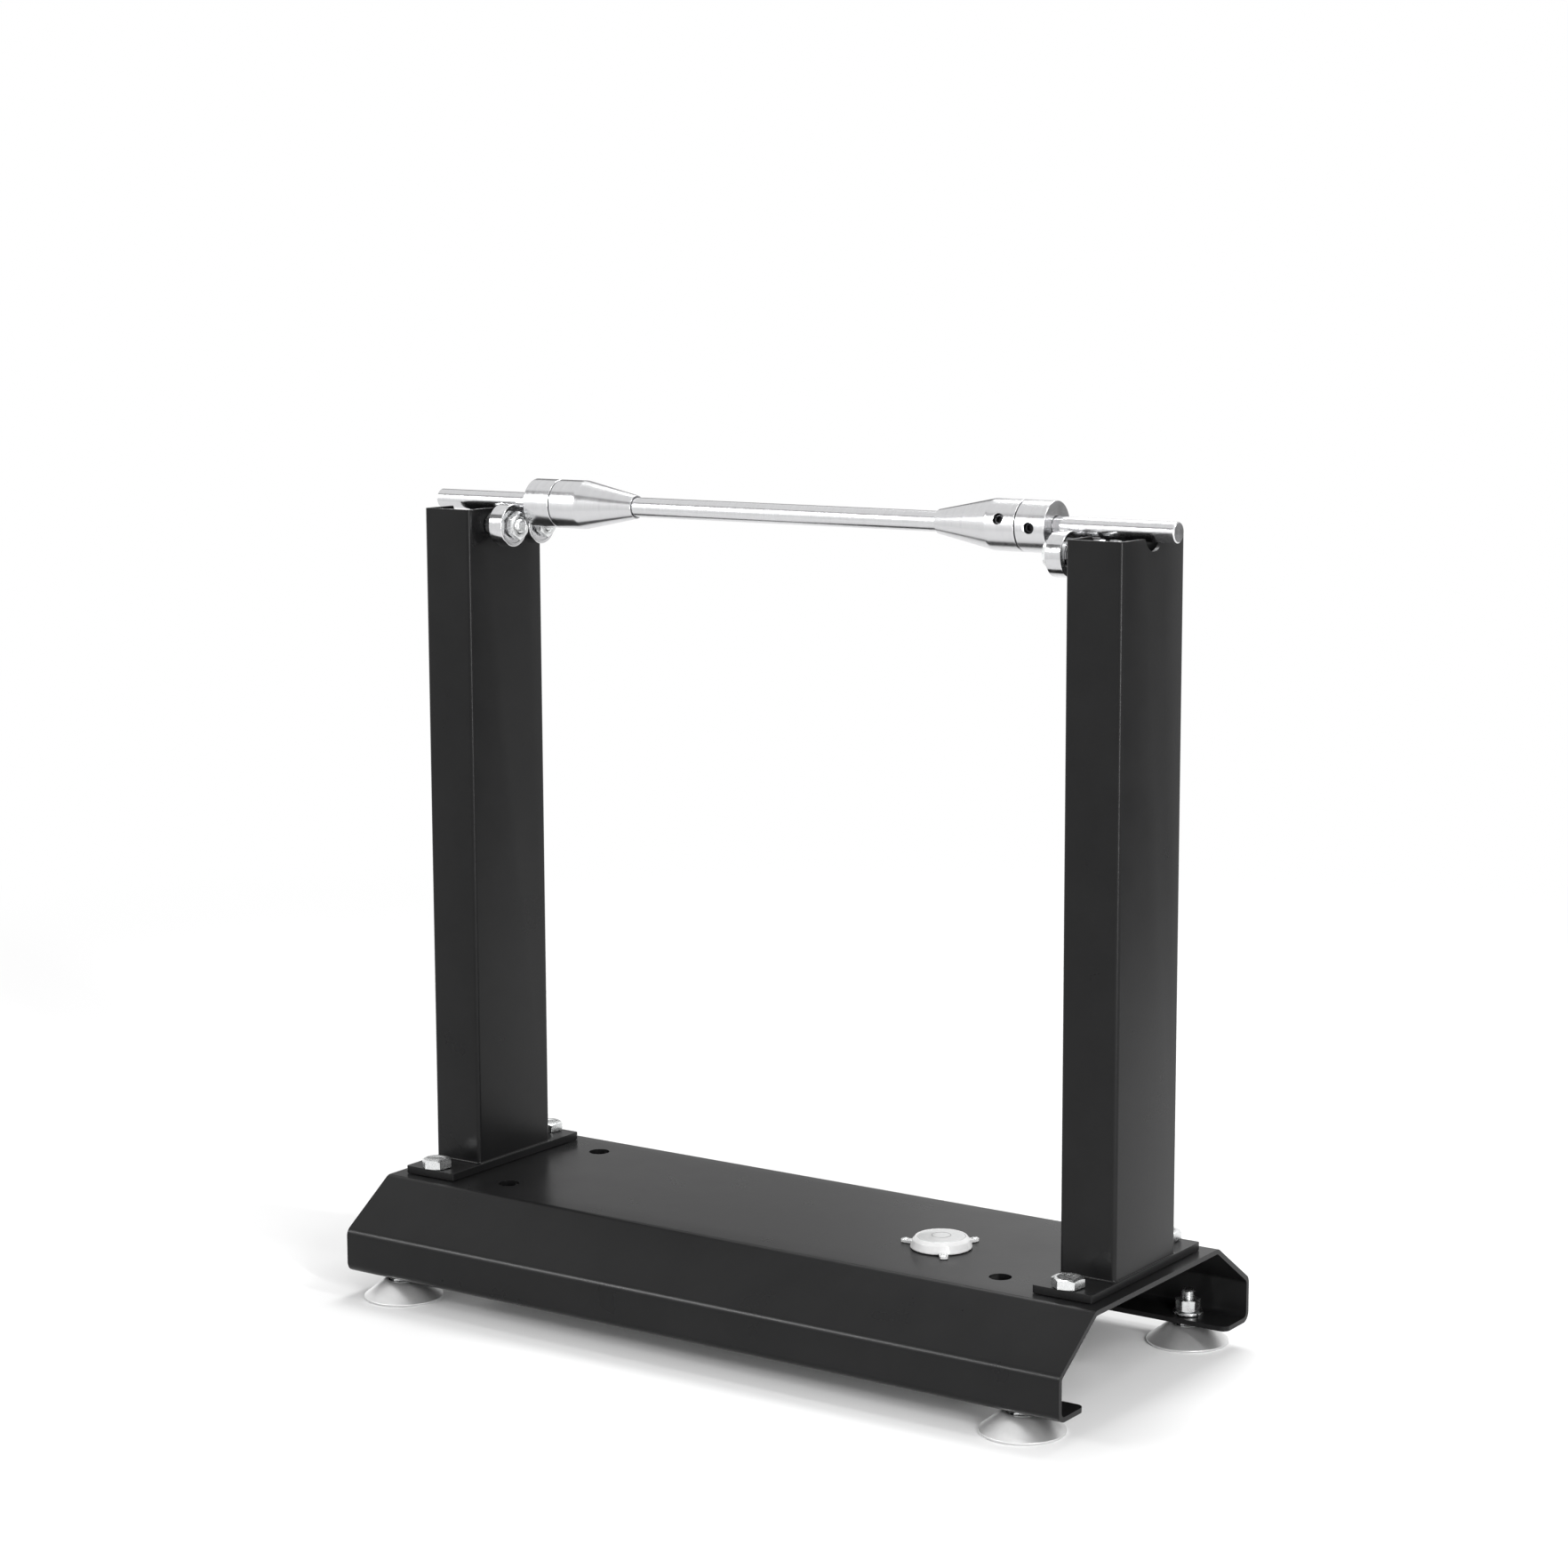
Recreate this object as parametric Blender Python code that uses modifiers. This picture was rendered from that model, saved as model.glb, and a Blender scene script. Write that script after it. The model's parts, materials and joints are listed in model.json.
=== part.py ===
"""A motorcycle wheel balancer, in metres.

A bent steel base stands on four levelling feet and carries two box-section uprights. Each upright has a
pair of ball bearings near its top, and a loose shaft rolls in the two V-shaped seats that they make. Two
cones, each backed by a collar, slide along the shaft and lock with set screws, to centre a wheel.

+X runs along the base, the front faces -Y and +Z is up. The origin is on the surface that the feet stand
on, under the middle of the base."""

from math import cos, pi, radians, sin, sqrt, tan

import bmesh
import bpy
from mathutils import Matrix, Vector

# Clearances between pieces, and working distances
SEAT_GAP = 0.0003
RUNNING_GAP = 0.0003
OVERRUN = 0.002
WELD_DISTANCE = 0.00001

# Base channel
BASE_LENGTH = 0.430
BASE_WIDTH = 0.1886
BASE_TOP_MARGIN = 0.0073
BASE_HEIGHT = 0.0451
BASE_SIDE_HEIGHT = 0.0222
BASE_LIP_WIDTH = 0.024
BASE_SHEET = 0.0025
BASE_INNER_BEND_RADIUS = 0.0017
BASE_LIP_CORNER_RADIUS = 0.004
SPARE_HOLE_RADIUS = 0.0055
SPARE_HOLE_INSET_X = 0.0645
SPARE_HOLE_INSET_Y = 0.0218

# Uprights
UPRIGHT_INSET = 0.0226
UPRIGHT_WIDTH = 0.030
UPRIGHT_DEPTH = 0.060
UPRIGHT_LENGTH = 0.3476
UPRIGHT_WALL = 0.002
UPRIGHT_INNER_CORNER_RADIUS = 0.0003
NOTCH_GAP = 0.0042

# Flange plates under the uprights
PLATE_SIDE_MARGIN = 0.0011
PLATE_END_MARGIN = 0.006
PLATE_THICKNESS = 0.004
PLATE_EDGE_RADIUS = 0.0006

# Bolts that hold the flange plates down
PLATE_BOLT_RADIUS = 0.004
PLATE_BOLT_TO_UPRIGHT = 0.0175
PLATE_BOLT_TAIL = 0.0028
PLATE_BOLT_HEX = 0.014
PLATE_BOLT_TURN = radians(-8.5)
PLATE_BOLT_HEAD = 0.0048
PLATE_NUT_HEIGHT = 0.0065
HOLE_GAP = 0.0005
HEX_CHAMFER = 0.0008

# Ball bearings that carry the shaft
BEARING_RADIUS = 0.011
BEARING_WIDTH = 0.0085
BEARING_PAIR_GAP = 0.0012
BEARING_BELOW_TOP = 0.0085
BEARING_CHAMFER = 0.0004
OUTER_RING_SHOULDER = 0.0018
INNER_RING_WALL = 0.00185
RACEWAY_DEPTH = 0.00045
BALL_TO_RACEWAY = 0.000375
BALL_COUNT = 7
CAGE_WIDTH = 0.001
CAGE_THICKNESS = 0.0009
SHIELD_RECESS = 0.0004
SHIELD_THICKNESS = 0.0004
SHIELD_BORE_GAP = 0.0005

# Bolts that carry the bearings
AXLE_BOLT_RADIUS = 0.0038
AXLE_BOLT_HEX = 0.013
AXLE_BOLT_HEAD = 0.0053
AXLE_BOLT_TAIL = 0.001
AXLE_NUT_HEIGHT = 0.004
SPACER_LENGTH = 0.0063

# Shaft
SHAFT_PAST_UPRIGHT = 0.0126
SHAFT_RADIUS = 0.005
SHAFT_CHAMFER = 0.0005

# Cones and collars
COLLAR_TO_BOLT_END = 0.0012
COLLAR_WALL = 0.0075
COLLAR_WIDTH = 0.016
COLLAR_CHAMFER = 0.0004
COLLAR_CONE_GAP = 0.0006
CONE_BARREL = 0.0158
CONE_TAPER = 0.032
CONE_TIP_WALL = 0.0007
CONE_BEND_RADIUS = 0.008

# Set screws in the cones and collars
SET_SCREW_RADIUS = 0.0024
SET_SCREW_LENGTH = 0.0055
SET_SCREW_SOCKET = 0.003
SET_SCREW_SOCKET_DEPTH = 0.0025
CONE_SET_SCREW_INSET = 0.0089
COLLAR_SET_SCREW_INSET = 0.0085
CONE_SET_SCREW_TILT = radians(17.0)
COLLAR_SET_SCREW_TILT = radians(-1.0)

# Levelling feet
FOOT_INSET_X = 0.027
FOOT_INSET_Y = 0.0133
PAD_HEIGHT = 0.010
PAD_RADIUS = 0.0206
PAD_SOLE_INSET = 0.0006
PAD_SOLE_BEVEL = 0.0006
PAD_RIM_HEIGHT = 0.0008
PAD_TOP_WALL = 0.0018
PAD_TOP_LAND = 0.0012
PAD_TOP_CHAMFER = 0.0003
PAD_RECESS_DEPTH = 0.003
PAD_FLOOR = 0.0025
PAD_RECESS_GAP = 0.0006
STUD_PIN_RADIUS = 0.0035
STUD_HEX = 0.013
STUD_HEX_HEIGHT = 0.0044
STUD_RADIUS = 0.0035
STUD_LENGTH = 0.0155
STUD_CHAMFER = 0.0006
LOCK_NUT_HEX = 0.011
LOCK_NUT_HEIGHT = 0.006
LOCK_WASHER_MARGIN = 0.0014
LOCK_WASHER_THICKNESS = 0.0014

# Round spirit level on the base
LEVEL_INSET = 0.1142
LEVEL_FORWARD = 0.0125
LEVEL_RADIUS = 0.0156
LEVEL_SHOULDER_INSET = 0.0014
LEVEL_TOP_INSET = 0.0028
LEVEL_SHOULDER_DROP = 0.0015
LEVEL_HEIGHT = 0.0055
LEVEL_RIM = 0.0008
LEVEL_FLOOR = 0.0012
LEVEL_LENS_THICKNESS = 0.0024
LEVEL_LENS_CROWN = 0.0005
LEVEL_EAR_OFFSET = 0.0042
LEVEL_EAR_RADIUS = 0.0021
LEVEL_EAR_THICKNESS = 0.0012
LEVEL_EAR_TIP_LAND = 0.0006
LEVEL_EAR_HOLE_RADIUS = 0.0009
LEVEL_EAR_TURNS = (radians(185.5), radians(65.5), radians(-54.5))

# Faces round each kind of round piece
WIDE_FACES = 28
ROUND_FACES = 16
BEARING_FACES = 14
SMALL_FACES = 12
SHANK_FACES = 8
HEX_SIDES = 6
BALL_FACES = 6
BALL_RINGS = 4
BEND_FACES = 3
EDGE_FACES = 2
LENS_CROWN_FACES = 3
SHARP_ANGLE = radians(30.0)
HEX_CHAMFER_ANGLE = radians(30.0)

# Sizes that follow from the ones above
SIDES = (("left", -1), ("right", 1))
ENDS = (("front", -1), ("rear", 1))
HEX_SHARE = cos(pi / HEX_SIDES)
BASE_BEND_RADIUS = BASE_SHEET + BASE_INNER_BEND_RADIUS
STUD_SHOULDER_Z = PAD_HEIGHT - PAD_RECESS_DEPTH + SEAT_GAP
BASE_BOTTOM_Z = STUD_SHOULDER_Z + STUD_HEX_HEIGHT + SEAT_GAP
BASE_TOP_Z = BASE_BOTTOM_Z + BASE_HEIGHT
BASE_SIDE_Z = BASE_BOTTOM_Z + BASE_SIDE_HEIGHT
LIP_TOP_Z = BASE_BOTTOM_Z + BASE_SHEET
PLATE_BOTTOM_Z = BASE_TOP_Z + SEAT_GAP
PLATE_TOP_Z = PLATE_BOTTOM_Z + PLATE_THICKNESS
UPRIGHT_BOTTOM_Z = PLATE_TOP_Z + SEAT_GAP
UPRIGHT_TOP_Z = UPRIGHT_BOTTOM_Z + UPRIGHT_LENGTH
UPRIGHT_X = BASE_LENGTH / 2 - UPRIGHT_INSET
UPRIGHT_CORNER_RADIUS = UPRIGHT_WALL + UPRIGHT_INNER_CORNER_RADIUS
PLATE_BOLT_Y = UPRIGHT_DEPTH / 2 + PLATE_BOLT_TO_UPRIGHT
PLATE_WIDTH = UPRIGHT_WIDTH + 2 * PLATE_SIDE_MARGIN
PLATE_DEPTH = 2 * (PLATE_BOLT_Y + PLATE_END_MARGIN)
BASE_TOP_WIDTH = PLATE_DEPTH + 2 * BASE_TOP_MARGIN
SPARE_HOLE_X = BASE_LENGTH / 2 - SPARE_HOLE_INSET_X
SPARE_HOLE_Y = BASE_TOP_WIDTH / 2 - SPARE_HOLE_INSET_Y
FOOT_X = BASE_LENGTH / 2 - FOOT_INSET_X
FOOT_Y = BASE_WIDTH / 2 - FOOT_INSET_Y
BEARING_Y = BEARING_RADIUS + BEARING_PAIR_GAP / 2
BEARING_Z = UPRIGHT_TOP_Z - BEARING_BELOW_TOP
SHAFT_TO_BEARING = BEARING_RADIUS + SHAFT_RADIUS + RUNNING_GAP
SHAFT_Z = BEARING_Z + sqrt(SHAFT_TO_BEARING**2 - BEARING_Y**2)
WALL_X = UPRIGHT_X - UPRIGHT_WIDTH / 2
SPACER_X = WALL_X - SEAT_GAP
BEARING_BACK_X = SPACER_X - SPACER_LENGTH - SEAT_GAP
AXLE_NUT_X = BEARING_BACK_X - BEARING_WIDTH - SEAT_GAP
AXLE_HEAD_X = WALL_X + UPRIGHT_WALL + SEAT_GAP
AXLE_BOLT_LENGTH = AXLE_HEAD_X - AXLE_NUT_X + AXLE_NUT_HEIGHT + AXLE_BOLT_TAIL
AXLE_BORE_RADIUS = AXLE_BOLT_RADIUS + RUNNING_GAP
INNER_RING_RADIUS = AXLE_BORE_RADIUS + INNER_RING_WALL
INNER_RACE_RADIUS = INNER_RING_RADIUS - RACEWAY_DEPTH
OUTER_LAND_RADIUS = BEARING_RADIUS - OUTER_RING_SHOULDER
OUTER_RACE_RADIUS = OUTER_LAND_RADIUS + RACEWAY_DEPTH
BALL_PITCH_RADIUS = (OUTER_RACE_RADIUS + INNER_RACE_RADIUS) / 2
BALL_RADIUS = (OUTER_RACE_RADIUS - INNER_RACE_RADIUS) / 2 - BALL_TO_RACEWAY
SHAFT_HALF_LENGTH = UPRIGHT_X + UPRIGHT_WIDTH / 2 + SHAFT_PAST_UPRIGHT
SHAFT_BORE_RADIUS = SHAFT_RADIUS + RUNNING_GAP
NOTCH_RADIUS = SHAFT_RADIUS + NOTCH_GAP
COLLAR_OUTER_X = AXLE_NUT_X - AXLE_NUT_HEIGHT - AXLE_BOLT_TAIL - COLLAR_TO_BOLT_END
COLLAR_RADIUS = SHAFT_RADIUS + COLLAR_WALL
CONE_X = COLLAR_OUTER_X - COLLAR_WIDTH - COLLAR_CONE_GAP
CONE_TIP_RADIUS = SHAFT_BORE_RADIUS + CONE_TIP_WALL
SET_SCREW_HOLE_RADIUS = SET_SCREW_RADIUS + RUNNING_GAP
PLATE_HOLE_RADIUS = PLATE_BOLT_RADIUS + HOLE_GAP
STUD_HOLE_RADIUS = STUD_RADIUS + HOLE_GAP
NUT_BORE_RADIUS = PLATE_BOLT_RADIUS + RUNNING_GAP
LOCK_WASHER_RADIUS = LOCK_NUT_HEX / 2 / HEX_SHARE + LOCK_WASHER_MARGIN

# Colour, metallic value and roughness of each finish
BLACK_COAT = ((0.030, 0.030, 0.031, 1.0), 0.0, 0.42)
BRIGHT_STEEL = ((0.62, 0.62, 0.63, 1.0), 1.0, 0.20)
ZINC = ((0.58, 0.59, 0.60, 1.0), 1.0, 0.30)
SPUN_STEEL = ((0.66, 0.66, 0.66, 1.0), 1.0, 0.38)
DARK_STEEL = ((0.10, 0.10, 0.11, 1.0), 1.0, 0.35)
CLEAR_PLASTIC = ((0.92, 0.93, 0.93, 1.0), 0.0, 0.12)


def clear_scene():
    for obj in list(bpy.data.objects):
        bpy.data.objects.remove(obj, do_unlink=True)


def make_collection(name):
    collection = bpy.data.collections.new(name)
    bpy.context.scene.collection.children.link(collection)
    return collection


def dress(obj, finish):
    """Gives the object a material of its own in this finish."""
    colour, metallic, roughness = finish
    material = bpy.data.materials.new(obj.name)
    material.use_nodes = True
    shader = material.node_tree.nodes["Principled BSDF"]
    shader.inputs["Base Color"].default_value = colour
    shader.inputs["Metallic"].default_value = metallic
    shader.inputs["Roughness"].default_value = roughness
    material.diffuse_color = colour
    obj.material_slots[0].link = "OBJECT"
    obj.material_slots[0].material = material


def place(name, mesh, finish, location=(0, 0, 0), rotation=(0, 0, 0), parent=None):
    """Adds a piece of the balancer to its collection."""
    obj = bpy.data.objects.new(name, mesh)
    parts.objects.link(obj)
    if not mesh.materials:
        mesh.materials.append(None)
    dress(obj, finish)
    obj.location = location
    obj.rotation_euler = rotation
    obj.parent = parent
    return obj


def make_cutter(name, mesh, location=(0, 0, 0), rotation=(0, 0, 0), parent=None):
    """Adds a shape that only cuts or joins others."""
    obj = bpy.data.objects.new(name, mesh)
    cutters.objects.link(obj)
    obj.location = location
    obj.rotation_euler = rotation
    obj.parent = parent
    obj.hide_render = True
    obj.display_type = "WIRE"
    return obj


def make_axis(name, location, rotation=(0, 0, 0), parent=None):
    """An empty on an axis that moving pieces share."""
    axis = bpy.data.objects.new(name, None)
    parts.objects.link(axis)
    axis.location = location
    axis.rotation_euler = rotation
    axis.parent = parent
    axis.empty_display_size = SHAFT_RADIUS
    return axis


def combine(target, operation, tool):
    modifier = target.modifiers.new(tool.name, "BOOLEAN")
    modifier.operation = operation
    modifier.solver = "EXACT"
    modifier.object = tool


def shade_round(mesh):
    mesh.shade_smooth()
    mesh.set_sharp_from_angle(angle=SHARP_ANGLE)


def take_shape(obj):
    """The object's shape with its modifiers applied, as one mesh that copies share."""
    bpy.context.view_layer.update()
    graph = bpy.context.evaluated_depsgraph_get()
    mesh = bpy.data.meshes.new_from_object(obj.evaluated_get(graph))
    mesh.name = obj.name
    for modifier in list(obj.modifiers):
        if modifier.type == "BOOLEAN":
            bpy.data.objects.remove(modifier.object, do_unlink=True)
    bpy.data.objects.remove(obj, do_unlink=True)
    shade_round(mesh)
    return mesh


def rounded_path(corners, radii, faces=BEND_FACES, closed=False):
    """The points of a path of straight runs, with an arc of each corner's radius at that corner."""
    corners = [Vector(corner) for corner in corners]
    count = len(corners)
    points = []
    for index, (corner, radius) in enumerate(zip(corners, radii)):
        is_end = not closed and index in (0, count - 1)
        if radius == 0 or is_end:
            points.append(corner.copy())
            continue
        before = (corners[index - 1] - corner).normalized()
        after = (corners[(index + 1) % count] - corner).normalized()
        half = before.angle(after) / 2
        centre = corner + (before + after).normalized() * (radius / sin(half))
        start = corner + before * (radius / tan(half)) - centre
        sweep = pi - 2 * half
        if before.cross(after) > 0:
            sweep = -sweep
        for step in range(faces + 1):
            turn = Matrix.Rotation(sweep * step / faces, 2)
            points.append(centre + turn @ start)
    return points


def turned_shape(name, profile, faces, closed):
    """A shape turned about Z from a profile of (radius, height) points down its outer side."""
    mesh = bpy.data.meshes.new(name)
    shape = bmesh.new()
    verts = [shape.verts.new((radius, 0, height)) for radius, height in profile]
    for first, second in zip(verts, verts[1:]):
        shape.edges.new((first, second))
    if closed:
        shape.edges.new((verts[-1], verts[0]))
    shape.to_mesh(mesh)
    shape.free()
    obj = make_cutter(name, mesh)
    screw = obj.modifiers.new("turn", "SCREW")
    screw.axis = "Z"
    screw.angle = 2 * pi
    screw.steps = faces
    screw.render_steps = faces
    screw.use_merge_vertices = True
    screw.merge_threshold = WELD_DISTANCE
    return obj


def turned(name, profile, faces=ROUND_FACES, closed=False):
    return take_shape(turned_shape(name, profile, faces, closed))


def cylinder(name, radius, bottom, top, faces=ROUND_FACES):
    """A plain cylinder about Z between two heights."""
    mesh = bpy.data.meshes.new(name)
    shape = bmesh.new()
    middle = Matrix.Translation((0, 0, (bottom + top) / 2))
    bmesh.ops.create_cone(
        shape,
        cap_ends=True,
        segments=faces,
        radius1=radius,
        radius2=radius,
        depth=top - bottom,
        matrix=middle,
    )
    shape.to_mesh(mesh)
    shape.free()
    return mesh


def box(name, low, high):
    mesh = bpy.data.meshes.new(name)
    shape = bmesh.new()
    low = Vector(low)
    high = Vector(high)
    size = Matrix.Diagonal((*(high - low), 1))
    bmesh.ops.create_cube(shape, size=1, matrix=Matrix.Translation((low + high) / 2) @ size)
    shape.to_mesh(mesh)
    shape.free()
    return mesh


def flat_outline(name, points, bottom, thickness):
    """A flat piece from its outline, with its lower face at the given height."""
    curve = bpy.data.curves.new(name, "CURVE")
    curve.dimensions = "2D"
    curve.fill_mode = "BOTH"
    curve.extrude = thickness / 2
    spline = curve.splines.new("POLY")
    spline.points.add(len(points) - 1)
    for target, point in zip(spline.points, points):
        target.co = (point[0], point[1], 0, 1)
    spline.use_cyclic_u = True
    guide = bpy.data.objects.new(name, curve)
    cutters.objects.link(guide)
    guide.location.z = bottom + thickness / 2
    bpy.context.view_layer.update()
    graph = bpy.context.evaluated_depsgraph_get()
    mesh = bpy.data.meshes.new_from_object(guide.evaluated_get(graph))
    shape = bmesh.new()
    shape.from_mesh(mesh)
    bmesh.ops.remove_doubles(shape, verts=shape.verts, dist=WELD_DISTANCE)
    bmesh.ops.transform(shape, matrix=guide.matrix_world, verts=shape.verts)
    shape.to_mesh(mesh)
    shape.free()
    bpy.data.objects.remove(guide, do_unlink=True)
    return mesh


def folded_sheet(name, path, sweep, closed):
    """An open surface: a path of 3D points drawn out along a straight line."""
    mesh = bpy.data.meshes.new(name)
    shape = bmesh.new()
    verts = [shape.verts.new(point) for point in path]
    pairs = list(zip(verts, verts[1:]))
    if closed:
        pairs.append((verts[-1], verts[0]))
    edges = [shape.edges.new(pair) for pair in pairs]
    drawn = bmesh.ops.extrude_edge_only(shape, edges=edges)["geom"]
    moved = [item for item in drawn if isinstance(item, bmesh.types.BMVert)]
    bmesh.ops.translate(shape, verts=moved, vec=sweep)
    shape.to_mesh(mesh)
    shape.free()
    return mesh


def thicken(obj, thickness, side):
    """Gives an open surface its thickness, on the side that its faces turn from (-1) or to (1)."""
    solidify = obj.modifiers.new("sheet", "SOLIDIFY")
    solidify.thickness = thickness
    solidify.offset = side
    solidify.use_even_offset = True


def hex_blank(name, across, bottom, top, chamfers):
    """A hexagonal block about Z, with its corners turned off at the ends that chamfers names."""
    corner = across / 2 / HEX_SHARE
    land = across / 2 - HEX_CHAMFER / 2
    drop = (corner - land) * tan(HEX_CHAMFER_ANGLE)
    low = bottom - (OVERRUN if "bottom" in chamfers else 0)
    high = top + (OVERRUN if "top" in chamfers else 0)
    wide = corner + OVERRUN
    rise = drop + OVERRUN * tan(HEX_CHAMFER_ANGLE)
    if "top" in chamfers:
        profile = [(0, top), (land, top), (wide, top - rise)]
    else:
        profile = [(0, top + OVERRUN), (wide, top + OVERRUN)]
    if "bottom" in chamfers:
        profile += [(wide, bottom + rise), (land, bottom), (0, bottom)]
    else:
        profile += [(wide, bottom - OVERRUN), (0, bottom - OVERRUN)]
    block = make_cutter(name, cylinder(name, corner, low, high, HEX_SIDES))
    combine(block, "INTERSECT", turned_shape(name + "_corners", profile, SMALL_FACES, closed=False))
    return block


def hex_bolt(name, across, head, shank_radius, shank_length):
    """A hexagon bolt about Z, its head standing on the origin and its shank below."""
    bolt = hex_blank(name, across, 0, head, chamfers=("top",))
    shank = cylinder(name + "_shank", shank_radius, -shank_length, head / 2, SHANK_FACES)
    combine(bolt, "UNION", make_cutter(name + "_shank", shank))
    return take_shape(bolt)


def hex_nut(name, across, height, bore_radius):
    """A hexagon nut about Z, standing on the origin."""
    nut = hex_blank(name, across, 0, height, chamfers=("top", "bottom"))
    bore = cylinder(name + "_bore", bore_radius, -OVERRUN, height + OVERRUN, SHANK_FACES)
    combine(nut, "DIFFERENCE", make_cutter(name + "_bore", bore))
    return take_shape(nut)


def drill(target, name, radius, centre, depth, axis="Z", faces=SMALL_FACES):
    """Cuts a round hole through the target, centred on a point and reaching half its depth each way."""
    turns = {"Z": (0, 0, 0), "X": (0, pi / 2, 0), "Y": (pi / 2, 0, 0)}
    hole = cylinder(name, radius, -depth / 2, depth / 2, faces)
    combine(target, "DIFFERENCE", make_cutter(name, hole, centre, turns[axis]))


def make_base():
    """The bent sheet base: a flat top, slanted shoulders, upright sides and lips turned in below."""
    half_top = BASE_TOP_WIDTH / 2
    half_width = BASE_WIDTH / 2
    lip_end = half_width - BASE_LIP_WIDTH
    corners = [
        (-lip_end, BASE_BOTTOM_Z),
        (-half_width, BASE_BOTTOM_Z),
        (-half_width, BASE_SIDE_Z),
        (-half_top, BASE_TOP_Z),
        (half_top, BASE_TOP_Z),
        (half_width, BASE_SIDE_Z),
        (half_width, BASE_BOTTOM_Z),
        (lip_end, BASE_BOTTOM_Z),
    ]
    radii = [0] + [BASE_BEND_RADIUS] * (len(corners) - 2) + [0]
    path = [(-BASE_LENGTH / 2, point.x, point.y) for point in rounded_path(corners, radii)]
    sheet = folded_sheet("base_channel", path, (BASE_LENGTH, 0, 0), closed=False)
    base = place("base_channel", sheet, BLACK_COAT)

    rounding = base.vertex_groups.new(name="lip_corners")
    for vert in sheet.vertices:
        if abs(abs(vert.co.y) - lip_end) < WELD_DISTANCE:
            rounding.add([vert.index], 1, "REPLACE")
    bevel = base.modifiers.new("lip_corners", "BEVEL")
    bevel.affect = "VERTICES"
    bevel.limit_method = "VGROUP"
    bevel.vertex_group = "lip_corners"
    bevel.width = BASE_LIP_CORNER_RADIUS
    bevel.segments = BEND_FACES
    thicken(base, BASE_SHEET, -1)

    through = 2 * (BASE_SHEET + OVERRUN)
    for side, across in SIDES:
        for end, along in ENDS:
            name = side + "_" + end
            spare = (across * SPARE_HOLE_X, along * SPARE_HOLE_Y, BASE_TOP_Z)
            bolt = (across * UPRIGHT_X, along * PLATE_BOLT_Y, BASE_TOP_Z)
            stud = (across * FOOT_X, along * FOOT_Y, BASE_BOTTOM_Z)
            drill(base, name + "_spare_hole", SPARE_HOLE_RADIUS, spare, through, faces=ROUND_FACES)
            drill(base, name + "_bolt_hole", PLATE_HOLE_RADIUS, bolt, through)
            drill(base, name + "_stud_hole", STUD_HOLE_RADIUS, stud, through)


def make_upright(side, across):
    """A length of rectangular tube, notched at the top for the shaft and drilled for the bearing bolts."""
    half_width = across * UPRIGHT_WIDTH / 2
    half_depth = UPRIGHT_DEPTH / 2
    corners = [
        (half_width, -half_depth),
        (half_width, half_depth),
        (-half_width, half_depth),
        (-half_width, -half_depth),
    ]
    section = rounded_path(corners, [UPRIGHT_CORNER_RADIUS] * len(corners), closed=True)
    middle = across * UPRIGHT_X
    path = [(middle + point.x, point.y, UPRIGHT_BOTTOM_Z) for point in section]
    name = side + "_upright_tube"
    upright = place(name, folded_sheet(name, path, (0, 0, UPRIGHT_LENGTH), closed=True), BLACK_COAT)
    thicken(upright, UPRIGHT_WALL, across)
    both_walls = UPRIGHT_WIDTH + 2 * OVERRUN
    drill(upright, side + "_notch", NOTCH_RADIUS, (middle, 0, SHAFT_Z), both_walls, "X", WIDE_FACES)
    for end, along in ENDS:
        inner_wall = (across * WALL_X, along * BEARING_Y, BEARING_Z)
        one_wall = 2 * (UPRIGHT_WALL + OVERRUN)
        hole = side + "_" + end + "_axle_hole"
        drill(upright, hole, AXLE_BOLT_RADIUS + HOLE_GAP, inner_wall, one_wall, "X")


def make_plate(side, across):
    """The flange plate that the upright is welded to."""
    middle = across * UPRIGHT_X
    half_width = PLATE_WIDTH / 2
    half_depth = PLATE_DEPTH / 2
    name = side + "_flange_plate"
    low = (middle - half_width, -half_depth, PLATE_BOTTOM_Z)
    high = (middle + half_width, half_depth, PLATE_TOP_Z)
    plate = place(name, box(name, low, high), BLACK_COAT)
    bevel = plate.modifiers.new("edges", "BEVEL")
    bevel.width = PLATE_EDGE_RADIUS
    bevel.segments = EDGE_FACES
    through = 2 * (PLATE_THICKNESS + OVERRUN)
    for end, along in ENDS:
        centre = (middle, along * PLATE_BOLT_Y, PLATE_TOP_Z)
        hole = side + "_" + end + "_plate_hole"
        drill(plate, hole, PLATE_HOLE_RADIUS, centre, through)


def make_plate_bolts():
    """Four bolts through the flange plates and the base, each with a nut below."""
    head_z = PLATE_TOP_Z + SEAT_GAP
    nut_z = BASE_TOP_Z - BASE_SHEET - SEAT_GAP - PLATE_NUT_HEIGHT
    length = head_z - nut_z + PLATE_BOLT_TAIL
    bolt = hex_bolt("flange_bolt", PLATE_BOLT_HEX, PLATE_BOLT_HEAD, PLATE_BOLT_RADIUS, length)
    nut = hex_nut("flange_nut", PLATE_BOLT_HEX, PLATE_NUT_HEIGHT, NUT_BORE_RADIUS)
    for side, across in SIDES:
        for end, along in ENDS:
            name = side + "_" + end
            x = across * UPRIGHT_X
            y = along * PLATE_BOLT_Y
            place(name + "_flange_bolt", bolt, ZINC, (x, y, head_z), (0, 0, PLATE_BOLT_TURN))
            place(name + "_flange_nut", nut, ZINC, (x, y, nut_z))


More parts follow.
